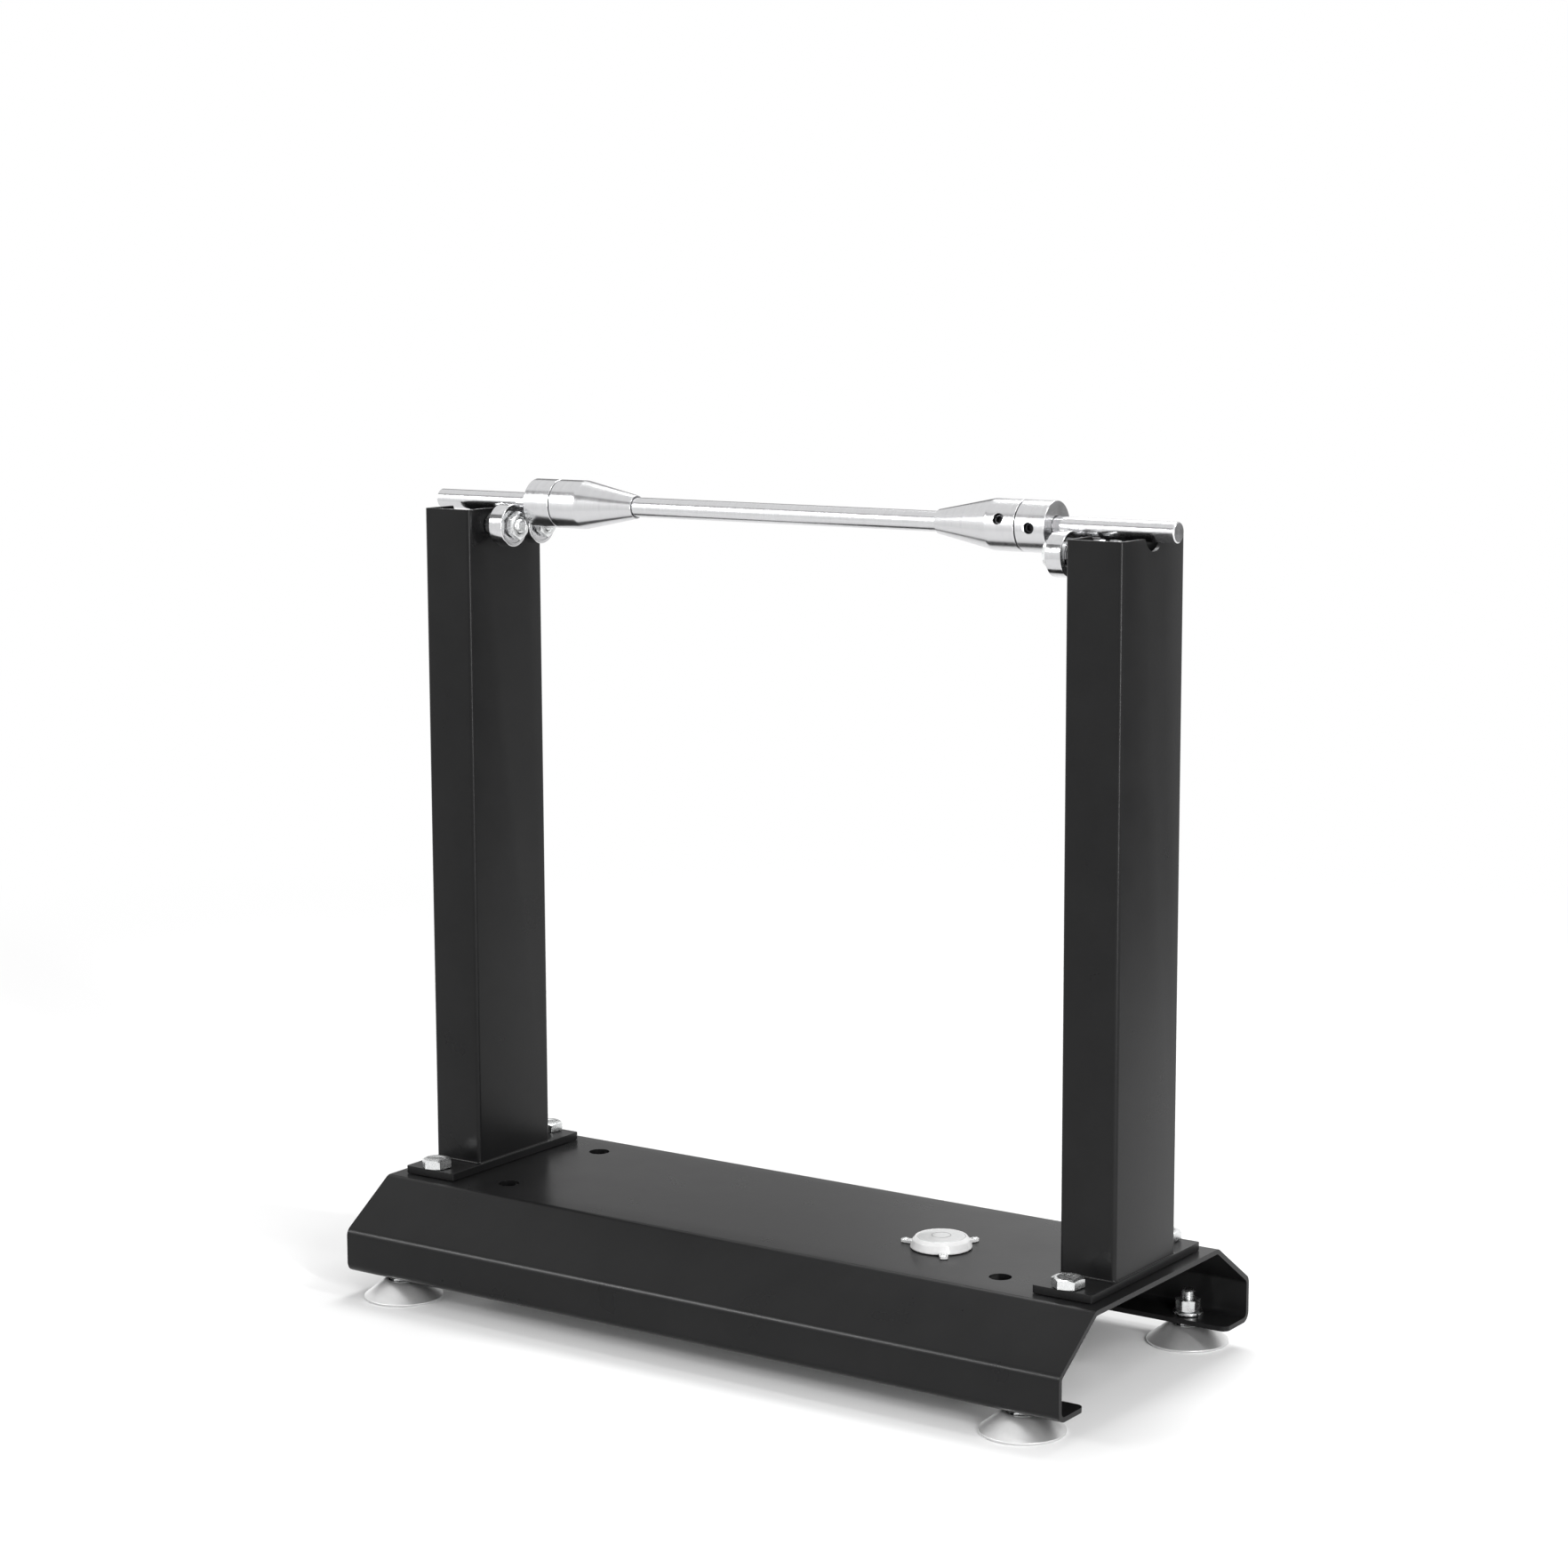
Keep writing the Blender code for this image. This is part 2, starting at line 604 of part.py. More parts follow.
def outer_ring_profile():
    """Half the section of a bearing's outer ring, with its raceway and the shields pressed into it."""
    width = BEARING_WIDTH
    middle = width / 2
    land = OUTER_LAND_RADIUS
    rim = BEARING_RADIUS - BEARING_CHAMFER
    shield_in = INNER_RING_RADIUS + SHIELD_BORE_GAP
    face = SHIELD_RECESS
    back = SHIELD_RECESS + SHIELD_THICKNESS
    return [
        (rim, width),
        (BEARING_RADIUS, width - BEARING_CHAMFER),
        (BEARING_RADIUS, BEARING_CHAMFER),
        (rim, 0),
        (land, 0),
        (land, face),
        (shield_in, face),
        (shield_in, back),
        (land, back),
        (land, middle - BALL_RADIUS),
        (OUTER_RACE_RADIUS, middle),
        (land, middle + BALL_RADIUS),
        (land, width - back),
        (shield_in, width - back),
        (shield_in, width - face),
        (land, width - face),
        (land, width),
    ]


def make_ball_cage():
    """The balls of one bearing in the cage that spaces them."""
    middle = BEARING_WIDTH / 2
    high = middle + CAGE_WIDTH / 2
    low = middle - CAGE_WIDTH / 2
    outside = BALL_PITCH_RADIUS + CAGE_THICKNESS / 2
    inside = BALL_PITCH_RADIUS - CAGE_THICKNESS / 2
    band = [(outside, high), (outside, low), (inside, low), (inside, high)]
    cage = turned_shape("ball_cage", band, 2 * BALL_COUNT, closed=True)
    for index in range(BALL_COUNT):
        angle = 2 * pi * index / BALL_COUNT
        ball = bpy.data.meshes.new("ball")
        shape = bmesh.new()
        place_ball = Matrix.Rotation(angle, 4, "Z") @ Matrix.Translation((BALL_PITCH_RADIUS, 0, middle))
        bmesh.ops.create_uvsphere(
            shape, u_segments=BALL_FACES, v_segments=BALL_RINGS, radius=BALL_RADIUS, matrix=place_ball
        )
        shape.to_mesh(ball)
        shape.free()
        combine(cage, "UNION", make_cutter("ball_" + str(index), ball))
    return take_shape(cage)


def make_bearings():
    """Two bearings on the inner face of each upright, with the bolt, nut and spacer that hold each one."""
    middle = BEARING_WIDTH / 2
    inner_profile = [
        (INNER_RING_RADIUS, BEARING_WIDTH),
        (INNER_RING_RADIUS, middle + BALL_RADIUS),
        (INNER_RACE_RADIUS, middle),
        (INNER_RING_RADIUS, middle - BALL_RADIUS),
        (INNER_RING_RADIUS, 0),
        (AXLE_BORE_RADIUS, 0),
        (AXLE_BORE_RADIUS, BEARING_WIDTH),
    ]
    outer = turned("bearing_outer_ring", outer_ring_profile(), BEARING_FACES, closed=True)
    inner = turned("bearing_inner_ring", inner_profile, BEARING_FACES, closed=True)
    cage = make_ball_cage()
    tube = [
        (INNER_RING_RADIUS, SPACER_LENGTH),
        (INNER_RING_RADIUS, 0),
        (AXLE_BORE_RADIUS, 0),
        (AXLE_BORE_RADIUS, SPACER_LENGTH),
    ]
    spacer = turned("bearing_spacer", tube, SMALL_FACES, closed=True)
    bolt = hex_bolt("bearing_bolt", AXLE_BOLT_HEX, AXLE_BOLT_HEAD, AXLE_BOLT_RADIUS, AXLE_BOLT_LENGTH)
    nut = hex_nut("bearing_nut", AXLE_BOLT_HEX, AXLE_NUT_HEIGHT, AXLE_BORE_RADIUS)
    for side, across in SIDES:
        outward = (0, across * pi / 2, 0)
        inward = (0, -across * pi / 2, 0)
        for end, along in ENDS:
            name = side + "_" + end + "_bearing"
            axis = make_axis(name + "_axis", (0, along * BEARING_Y, BEARING_Z))
            back = (across * BEARING_BACK_X, 0, 0)
            place(name + "_outer_ring", outer, BRIGHT_STEEL, back, inward, axis)
            place(name + "_inner_ring", inner, BRIGHT_STEEL, back, inward, axis)
            place(name + "_ball_cage", cage, DARK_STEEL, back, inward, axis)
            place(name + "_spacer", spacer, ZINC, (across * SPACER_X, 0, 0), inward, axis)
            place(name + "_bolt", bolt, ZINC, (across * AXLE_HEAD_X, 0, 0), outward, axis)
            place(name + "_nut", nut, ZINC, (across * AXLE_NUT_X, 0, 0), inward, axis)


def make_set_screw():
    """A set screw about Z, its hexagonal socket at the top and its flat point on the origin."""
    body = cylinder("set_screw", SET_SCREW_RADIUS, 0, SET_SCREW_LENGTH, SMALL_FACES)
    screw = make_cutter("set_screw", body)
    socket_bottom = SET_SCREW_LENGTH - SET_SCREW_SOCKET_DEPTH
    socket_corner = SET_SCREW_SOCKET / 2 / HEX_SHARE
    socket = cylinder("socket", socket_corner, socket_bottom, SET_SCREW_LENGTH + OVERRUN, HEX_SIDES)
    combine(screw, "DIFFERENCE", make_cutter("socket", socket))
    return take_shape(screw)


def fit_set_screw(holder, name, screw, x, turn, shaft):
    """Drills the holder from its surface to its bore, and puts a set screw in the hole."""
    direction = Vector((0, -cos(turn), sin(turn)))
    rotation = direction.to_track_quat("Z", "Y").to_euler()
    hole = cylinder(name + "_hole", SET_SCREW_HOLE_RADIUS, 0, COLLAR_RADIUS + OVERRUN, SMALL_FACES)
    combine(holder, "DIFFERENCE", make_cutter(name + "_hole", hole, (x, 0, 0), rotation, shaft))
    seat = Vector((x, 0, 0)) + direction * SHAFT_BORE_RADIUS
    place(name + "_set_screw", screw, DARK_STEEL, seat, rotation, shaft)


def make_shaft_group():
    """The shaft, with a cone and its collar at each end of the wheel's space."""
    shaft_axis = make_axis("shaft_axis", (0, 0, SHAFT_Z))
    half = SHAFT_HALF_LENGTH
    rod = [
        (0, half),
        (SHAFT_RADIUS - SHAFT_CHAMFER, half),
        (SHAFT_RADIUS, half - SHAFT_CHAMFER),
        (SHAFT_RADIUS, -half + SHAFT_CHAMFER),
        (SHAFT_RADIUS - SHAFT_CHAMFER, -half),
        (0, -half),
    ]
    place("shaft", turned("shaft", rod), BRIGHT_STEEL, (0, 0, 0), (0, pi / 2, 0), shaft_axis)

    cone_length = CONE_BARREL + CONE_TAPER
    corners = [
        (CONE_TIP_RADIUS, cone_length),
        (COLLAR_RADIUS, CONE_BARREL),
        (COLLAR_RADIUS, COLLAR_CHAMFER),
        (COLLAR_RADIUS - COLLAR_CHAMFER, 0),
        (SHAFT_BORE_RADIUS, 0),
        (SHAFT_BORE_RADIUS, cone_length),
    ]
    bends = [COLLAR_CHAMFER / 2, CONE_BEND_RADIUS, 0, 0, 0, 0]
    cone = turned("cone", rounded_path(corners, bends, EDGE_FACES, closed=True), WIDE_FACES, closed=True)
    sleeve = [
        (COLLAR_RADIUS - COLLAR_CHAMFER, COLLAR_WIDTH),
        (COLLAR_RADIUS, COLLAR_WIDTH - COLLAR_CHAMFER),
        (COLLAR_RADIUS, COLLAR_CHAMFER),
        (COLLAR_RADIUS - COLLAR_CHAMFER, 0),
        (SHAFT_BORE_RADIUS, 0),
        (SHAFT_BORE_RADIUS, COLLAR_WIDTH),
    ]
    collar = turned("collar", sleeve, WIDE_FACES, closed=True)
    screw = make_set_screw()
    for side, across in SIDES:
        inward = (0, -across * pi / 2, 0)
        half_turn = 0 if across > 0 else pi
        cone_x = across * CONE_X
        collar_x = across * COLLAR_OUTER_X
        cone_body = place(side + "_cone", cone, BRIGHT_STEEL, (cone_x, 0, 0), inward, shaft_axis)
        collar_body = place(side + "_collar", collar, BRIGHT_STEEL, (collar_x, 0, 0), inward, shaft_axis)
        cone_screw_x = across * (CONE_X - CONE_SET_SCREW_INSET)
        collar_screw_x = across * (COLLAR_OUTER_X - COLLAR_SET_SCREW_INSET)
        cone_turn = CONE_SET_SCREW_TILT + half_turn
        collar_turn = COLLAR_SET_SCREW_TILT + half_turn
        fit_set_screw(cone_body, side + "_cone", screw, cone_screw_x, cone_turn, shaft_axis)
        fit_set_screw(collar_body, side + "_collar", screw, collar_screw_x, collar_turn, shaft_axis)


def make_pad():
    """A foot's pad: a low cone on a thin rim, with a recess in its top for the stud's hexagon."""
    pin_radius = STUD_PIN_RADIUS + RUNNING_GAP
    recess_radius = STUD_HEX / 2 / HEX_SHARE + PAD_RECESS_GAP
    recess_z = PAD_HEIGHT - PAD_RECESS_DEPTH
    rim_z = PAD_SOLE_BEVEL + PAD_RIM_HEIGHT
    shoulder_z = PAD_HEIGHT - PAD_TOP_CHAMFER
    top_radius = recess_radius + PAD_TOP_WALL
    land = top_radius - PAD_TOP_LAND / 2
    profile = [
        (0, PAD_FLOOR),
        (pin_radius, PAD_FLOOR),
        (pin_radius, recess_z),
        (recess_radius, recess_z),
        (recess_radius, shoulder_z),
        (land, PAD_HEIGHT),
        (top_radius, shoulder_z),
        (PAD_RADIUS, rim_z),
        (PAD_RADIUS, PAD_SOLE_BEVEL),
        (PAD_RADIUS - PAD_SOLE_INSET, 0),
        (0, 0),
    ]
    return turned("foot_pad", profile, ROUND_FACES)


def make_stud():
    """A foot's stud: a pin that turns in the pad, a hexagon to hold it by and a threaded end."""
    top = STUD_SHOULDER_Z + STUD_HEX_HEIGHT
    stud = hex_blank("foot_stud", STUD_HEX, STUD_SHOULDER_Z, top, chamfers=("top", "bottom"))
    end = top + STUD_LENGTH
    middle = STUD_SHOULDER_Z + STUD_HEX_HEIGHT / 2
    thread = [
        (0, end),
        (STUD_RADIUS - STUD_CHAMFER, end),
        (STUD_RADIUS, end - STUD_CHAMFER),
        (STUD_RADIUS, middle),
        (0, middle),
    ]
    pin = cylinder("stud_pin", STUD_PIN_RADIUS, PAD_FLOOR + SEAT_GAP, middle - SEAT_GAP, SMALL_FACES)
    combine(stud, "UNION", turned_shape("stud_thread", thread, SMALL_FACES, closed=False))
    combine(stud, "UNION", make_cutter("stud_pin", pin))
    return take_shape(stud)


def make_lock_nut():
    """The nut that locks a stud on the lip, with its washer."""
    washer_top = LOCK_WASHER_THICKNESS
    overlap = washer_top / 4
    nut_top = washer_top + LOCK_NUT_HEIGHT
    nut = hex_blank("lock_nut", LOCK_NUT_HEX, washer_top - overlap, nut_top, chamfers=("bottom",))
    washer = cylinder("lock_washer", LOCK_WASHER_RADIUS, 0, washer_top, ROUND_FACES)
    combine(nut, "UNION", make_cutter("lock_washer", washer))
    bore_radius = STUD_RADIUS + RUNNING_GAP
    bore = cylinder("lock_nut_bore", bore_radius, -OVERRUN, nut_top + OVERRUN, SMALL_FACES)
    combine(nut, "DIFFERENCE", make_cutter("lock_nut_bore", bore))
    return take_shape(nut)


def make_feet():
    """Four levelling feet, each a pad that swivels on a stud, and a nut that locks the stud to the lip."""
    pad = make_pad()
    stud = make_stud()
    nut = make_lock_nut()
    for side, across in SIDES:
        for end, along in ENDS:
            name = side + "_" + end + "_foot"
            axis = make_axis(name + "_axis", (across * FOOT_X, along * FOOT_Y, 0))
            place(name + "_pad", pad, SPUN_STEEL, parent=axis)
            place(name + "_stud", stud, ZINC, parent=axis)
            place(name + "_lock_nut", nut, ZINC, (0, 0, LIP_TOP_Z + SEAT_GAP), parent=axis)


def make_level():
    """A round spirit level: a flared body with three screw ears, and a crowned lens in its top."""
    bottom = BASE_TOP_Z + SEAT_GAP
    centre = (BASE_LENGTH / 2 - LEVEL_INSET, -LEVEL_FORWARD, bottom)
    top_radius = LEVEL_RADIUS - LEVEL_TOP_INSET
    well = top_radius - LEVEL_RIM
    shell = [
        (0, LEVEL_FLOOR),
        (well, LEVEL_FLOOR),
        (well, LEVEL_HEIGHT),
        (top_radius, LEVEL_HEIGHT),
        (LEVEL_RADIUS - LEVEL_SHOULDER_INSET, LEVEL_HEIGHT - LEVEL_SHOULDER_DROP),
        (LEVEL_RADIUS, 0),
        (0, 0),
    ]
    ear_reach = LEVEL_RADIUS + LEVEL_EAR_OFFSET
    mesh = turned("level_body", shell, WIDE_FACES)
    body = place("level_body", mesh, CLEAR_PLASTIC, centre)
    for index, turn in enumerate(LEVEL_EAR_TURNS):
        corners = [
            (top_radius, -LEVEL_EAR_RADIUS),
            (ear_reach + LEVEL_EAR_RADIUS, -LEVEL_EAR_RADIUS),
            (ear_reach + LEVEL_EAR_RADIUS, LEVEL_EAR_RADIUS),
            (top_radius, LEVEL_EAR_RADIUS),
        ]
        tip = LEVEL_EAR_RADIUS - LEVEL_EAR_TIP_LAND / 2
        outline = rounded_path(corners, [0, tip, tip, 0], closed=True)
        ear = flat_outline("ear", outline, 0, LEVEL_EAR_THICKNESS)
        combine(body, "UNION", make_cutter("level_ear_" + str(index), ear, centre, (0, 0, turn)))
        hole = Vector(centre) + Vector((ear_reach * cos(turn), ear_reach * sin(turn), 0))
        through = 2 * (LEVEL_EAR_THICKNESS + OVERRUN)
        drill(body, "level_ear_hole_" + str(index), LEVEL_EAR_HOLE_RADIUS, hole, through)
    lens_radius = well - RUNNING_GAP
    lens_bottom = LEVEL_HEIGHT - LEVEL_LENS_THICKNESS
    crown = []
    for step in range(LENS_CROWN_FACES + 1):
        angle = pi / 2 * step / LENS_CROWN_FACES
        crown.append((lens_radius * sin(angle), LEVEL_HEIGHT + LEVEL_LENS_CROWN * cos(angle)))
    crown += [(lens_radius, lens_bottom), (0, lens_bottom)]
    place("level_lens", turned("level_lens", crown, WIDE_FACES), CLEAR_PLASTIC, centre)


clear_scene()
parts = make_collection("wheel_balancer")
cutters = make_collection("wheel_balancer_cutters")

make_base()
for side_name, side_sign in SIDES:
    make_upright(side_name, side_sign)
    make_plate(side_name, side_sign)
make_plate_bolts()
make_bearings()
make_shaft_group()
make_feet()
make_level()
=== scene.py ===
"""The looks of a motorcycle wheel balancer, in metres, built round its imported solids.

Each fine piece stands where the solid of the same name stands and takes its place from that solid's box.
Round pieces are made about their own Z axis, which then points up, or inward along the shaft's line."""
import json
from math import asin, cos, pi, radians, sin, tan

import bmesh
import bpy
from mathutils import Matrix, Vector


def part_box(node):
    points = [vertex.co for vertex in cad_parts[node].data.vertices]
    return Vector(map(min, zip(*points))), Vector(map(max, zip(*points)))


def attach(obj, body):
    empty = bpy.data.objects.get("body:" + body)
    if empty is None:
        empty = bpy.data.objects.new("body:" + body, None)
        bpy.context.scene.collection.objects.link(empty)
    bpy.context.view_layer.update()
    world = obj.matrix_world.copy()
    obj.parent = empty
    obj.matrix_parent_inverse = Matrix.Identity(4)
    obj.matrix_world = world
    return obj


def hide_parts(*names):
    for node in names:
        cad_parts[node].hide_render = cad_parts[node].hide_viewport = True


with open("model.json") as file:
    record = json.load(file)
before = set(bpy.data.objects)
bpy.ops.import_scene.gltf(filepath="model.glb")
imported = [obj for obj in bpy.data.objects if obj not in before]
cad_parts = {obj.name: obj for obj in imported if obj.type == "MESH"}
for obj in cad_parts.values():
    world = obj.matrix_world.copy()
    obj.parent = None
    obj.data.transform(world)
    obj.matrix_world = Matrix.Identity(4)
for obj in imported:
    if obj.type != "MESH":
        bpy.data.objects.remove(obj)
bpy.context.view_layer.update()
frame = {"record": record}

SIDES = (("left", -1), ("right", 1))
ENDS = (("front", -1), ("rear", 1))
CORNERS = [(side + "_" + end, across, along) for side, across in SIDES for end, along in ENDS]
GROUPS = frame["record"]["behaviour"]["bodies"]
BODY_OF = {node: body for body, nodes in GROUPS.items() for node in nodes}

# Sheet and tube
SHEET = 0.0025
SIDE_HEIGHT = 0.0222
LIP_WIDTH = 0.024
TOP_WIDTH = 0.1216
BEND_RADIUS = 0.0052
NECK_DROP = 0.001
NECK_WALL = 0.0007
NECK_ROOT = 0.0003
NECK_EDGE = NECK_WALL / 3
LIP_CORNER = 0.004
SHEET_EDGE = 0.0004
SPARE_HOLE = (0.1505, 0.039)
SPARE_HOLE_RADIUS = 0.0055
BOLT_HOLE_RADIUS = 0.0045
STUD_HOLE_RADIUS = 0.004
TUBE_WALL = 0.002
TUBE_CORNER = 0.0023
TUBE_EDGE = 0.0003
NOTCH_RADIUS = 0.0092
AXLE_HOLE_RADIUS = 0.0043
PLATE_CORNER = 0.0012
PLATE_EDGE = 0.0006
WELD_LEG = 0.0009
WELD_RIPPLE = 0.00009
WELD_PITCH = 0.0021
WELD_STEP = 0.0005

# Fasteners
HEX_SHARE = cos(pi / 6)
HEX_EDGE = 0.00035
CHAMFER_ANGLE = radians(30.0)
CHAMFER_LAND = 0.0004
HEAD_DISH_SHARES = ((0.0, 1.0), (0.52, 0.95), (0.68, 0.55), (0.82, 0.0))
HEAD_DISH = 0.0006
FLANGE_HEX = 0.014
FLANGE_BOLT_TURN = radians(-8.5)
FLANGE_HEAD = 0.0048
FLANGE_BOLT_RADIUS = 0.004
AXLE_HEX = 0.013
AXLE_NUT_TURN = radians(30.0)
AXLE_HEAD = 0.0053
AXLE_RADIUS = 0.0038
THREAD_PITCH = 0.00125
THREAD_DEPTH = 0.0006
THREAD_CREST_SHARE = 0.16
THREAD_START = 0.001
THREAD_END = 0.0009
BORE_GAP = 0.0003
BORE_CHAMFER = 0.0005
WASHER_FACE = 0.0003

# Bearings, the spacers and the shaft with what slides on it
BEARING_ROUNDING = 0.0005
OUTER_SHOULDER = 0.0018
INNER_RING_RADIUS = 0.00595
SHIELD_RECESS = 0.0004
SHIELD_SHEET = 0.00035
SHIELD_STEP = 0.0002
SHIELD_LIP = 0.0008
SHIELD_GAP = 0.00035
RACEWAY = 0.00045
BALL_COUNT = 7
BALL_PITCH_RADIUS = 0.007575
BALL_RADIUS = 0.0017
BALL_SEGMENTS = 24
BALL_RINGS = 14
CAGE_RADIAL = 0.0007
CAGE_WIDTH = 0.0011
SHAFT_CHAMFER = 0.0005
COLLAR_CHAMFER = 0.0004
CONE_BARREL = 0.0158
CONE_BEND = 0.008
CONE_TIP_WALL = 0.0007
SCREW_HOLE_RADIUS = 0.0027
SCREW_HOLE_CHAMFER = 0.0004
SCREW_INSETS = {"cone": 0.0089, "collar": 0.0085}
SCREW_TILTS = {"cone": radians(17.0), "collar": radians(-1.0)}
SET_SCREW_RADIUS = 0.0024
SET_SCREW_SOCKET = 0.003
SET_SCREW_SOCKET_DEPTH = 0.0025
SET_SCREW_LENGTH = 0.0055
SET_SCREW_PITCH = 0.0008
SET_SCREW_THREAD = 0.0003
SOCKET_FLARE = 1.06

# Feet
STUD_RADIUS = 0.0035
STUD_PITCH = 0.001
STUD_THREAD = 0.0005
STUD_THREAD_START = 0.0005
STUD_HEX = 0.013
STUD_HEX_HEIGHT = 0.0044
STUD_PIN_RADIUS = 0.0035
PAD_FLOOR = 0.0025
PAD_RECESS = 0.003
PAD_RIM_TOP = 0.0014
PAD_SOLE_BEVEL = 0.0006
PAD_SOLE_INSET = 0.0006
PAD_TOP_LAND = 0.0012
PAD_RECESS_GAP = 0.0006
PAD_TOP_WALL = 0.0018
LOCK_NUT_HEX = 0.011
SPRING_WASHER = 0.0014
SPRING_WASHER_RADIUS = 0.00765
SPRING_WASHER_CUT = radians(9.0)
SPRING_WASHER_TURN = radians(-24.0)
SPRING_WASHER_LIFT = 0.0003

# Spirit level
LEVEL_RADIUS = 0.0156
LEVEL_SHOULDER_INSET = 0.0014
LEVEL_TOP_INSET = 0.0028
LEVEL_SHOULDER_DROP = 0.0015
LEVEL_HEIGHT = 0.0055
LEVEL_RIM = 0.0008
LEVEL_FLOOR = 0.0012
LENS_THICKNESS = 0.0024
LENS_FILL = 0.00018
EAR_OFFSET = 0.0042
EAR_RADIUS = 0.0021
EAR_THICKNESS = 0.0012
EAR_TURNS = (radians(185.5), radians(65.5), radians(-54.5))
EAR_HOLE_RADIUS = 0.0009
EAR_SCREW_RADIUS = 0.0017
EAR_SCREW_DOME = 0.0007
EAR_SCREW_BRIM = 0.35
EAR_SCREW_SLOT = 0.0004
TARGET_RADIUS = 0.0047
TARGET_LINE = 0.0004
TARGET_PROUD = 0.00004

# Faces
WIDE_FACES = 144
ROUND_FACES = 72
THREAD_FACES = 48
BEND_STEPS = 8
EDGE_STEPS = 3
ARC_STEPS = 5
LENS_STEPS = 10
HEX_SIDE_STEPS = 8
HEX_CORNER_STEPS = 2
THREAD_STEPS = 8
SHARP_ANGLE = radians(34.0)
OVERRUN = 0.002
TOLERANCE = 0.00001

# Camera, light and room
CAMERA_PLACE = (0.96370, -1.39840, 0.53670)
CAMERA_AZIMUTH = radians(34.590)
CAMERA_ELEVATION = radians(8.690)
CAMERA_ROLL = radians(-0.202)
CAMERA_LENS = 78.77
SENSOR_WIDTH = 36.0
ROOM_LIGHT = 0.46
FLOOR_SIZE = 9.0
FLOOR_COLOURS = (0.875, 0.88)
FLOOR_SPECKLE = 3.0
FLOOR_GLOW = 0.05
FLOOR_FADE = (0.75, 1.4)
# Painted reflections: the grey glow of sheets that only mirrors see, and the steps of their bend round the
# room
PAINTED_REFLECTION_GREY = 0.22
PAINTED_REFLECTION_STEPS = 24
# Each painted reflection's reach, where it starts and stops (degrees from the front to the right) and its
# two heights; each is a grey glowing sheet that only mirrors see
PAINTED_REFLECTIONS = {
    "front_painted_reflection": (3.0, -62.0, -15.0, 1.65, 3.2),
    "rear_painted_reflection": (3.0, 211.0, 236.0, 0.8, 2.0),
    "end_painted_reflection": (1.1, 126.0, 147.0, 0.0, 0.55),
}
# Each lamp's place, aim, width, depth and watts, and whether matt surfaces get its light
LAMPS = {
    "key_lamp": ((-1.23, -1.56, 1.12), (0, 0, 0.05), 0.9, 0.16, 11.0, True),
    "edge_lamp": ((-1.23, -1.56, 1.12), (0, 0, 0.05), 0.9, 0.34, 20.0, False),
    "top_lamp": ((-0.3, 1.1, 2.1), (0, 0, 0.1), 1.3, 0.9, 30.0, True),
    "tall_lamp": ((1.20, -0.69, 0.52), (0, 0, 0.2), 0.10, 1.0, 14.0, True),
    "rim_lamp": ((1.35, 0.15, 1.55), (0.1, 0, 0.05), 0.12, 0.9, 8.0, True),
}
WHITE = (1.0, 1.0, 1.0, 1.0)

# Materials
NOISE_RANGE = (0.3, 0.7)
ACRYLIC_IOR = 1.49
SPIRIT_IOR = 1.36


def fill(tree, node, values):
    """Links or sets a node's inputs."""
    for key, value in values.items():
        if isinstance(value, bpy.types.NodeSocket):
            tree.links.new(value, node.inputs[key])
        else:
            node.inputs[key].default_value = value


def add_node(tree, kind, inputs=None, **settings):
    """Adds a shader node, sets its options, and sets or links its inputs."""
    made = tree.nodes.new("ShaderNode" + kind)
    for option, value in settings.items():
        setattr(made, option, value)
    fill(tree, made, inputs or {})
    return made


def start_material(name):
    """A new material with its node tree and the shader in it."""
    material = bpy.data.materials.new(name)
    material.use_nodes = True
    tree = material.node_tree
    return material, tree, tree.nodes["Principled BSDF"]


def noise(tree, scale, detail=2.0, stretch=(1.0, 1.0, 1.0)):
    """Noise in the piece's own coordinates, about scale cells to a metre, squeezed along each axis."""
    place = add_node(tree, "TexCoord").outputs["Object"]
    spread = add_node(tree, "Mapping", {"Vector": place, "Scale": stretch}).outputs["Vector"]
    values = {"Vector": spread, "Scale": scale, "Detail": detail}
    return add_node(tree, "TexNoise", values).outputs["Fac"]


def between(tree, factor, low, high, span=NOISE_RANGE, **settings):
    """A number that goes from low to high while the factor crosses its span."""
    values = {"Value": factor, "From Min": span[0], "From Max": span[1], "To Min": low, "To Max": high}
    return add_node(tree, "MapRange", values, **settings).outputs["Result"]


def shades(tree, factor, dark, light):
    """A colour between two greys that follows the factor."""
    values = {"Factor": between(tree, factor, 0.0, 1.0), 6: (*dark, 1.0), 7: (*light, 1.0)}
    return add_node(tree, "Mix", values, data_type="RGBA").outputs[2]


def bump(tree, height, depth, under=None):
    """A surface normal from a height, over another relief where one is given."""
    values = {"Height": height, "Distance": depth, "Strength": 1.0}
    if under is not None:
        values["Normal"] = under
    return add_node(tree, "Bump", values).outputs["Normal"]


def round_axis(tree):
    """The direction of lathe marks, which run round the piece's own Z axis."""
    return add_node(tree, "Tangent", direction_type="RADIAL", axis="Z").outputs["Tangent"]


def clouded(name, cloud, tones, gloss, reliefs, values):
    """A material whose tone and gloss follow one noise, with layers of relief, each a noise and a depth."""
    material, tree, shader = start_material(name)
    factor = noise(tree, *cloud)
    fill(tree, shader, values)
    fill(tree, shader, {
        "Base Color": shades(tree, factor, *tones),
        "Roughness": between(tree, factor, *gloss),
    })
    if "Anisotropic" in values:
        fill(tree, shader, {"Tangent": round_axis(tree)})
    normal = None
    for grain, depth in reliefs:
        normal = bump(tree, noise(tree, *grain), depth, normal)
    if normal:
        fill(tree, shader, {"Normal": normal})
    return material


def black_coat():
    """Powder coat: near black, softly shining, with a fine orange-peel surface."""
    tones = (0.0074, 0.0074, 0.0077), (0.0096, 0.0096, 0.0099)
    reliefs = [((620.0, 2.0), 0.000013), ((2600.0, 1.0), 0.000002)]
    return clouded("black_coat", (34.0, 4.0), tones, (0.27, 0.31), reliefs, {"Specular IOR Level": 0.17})


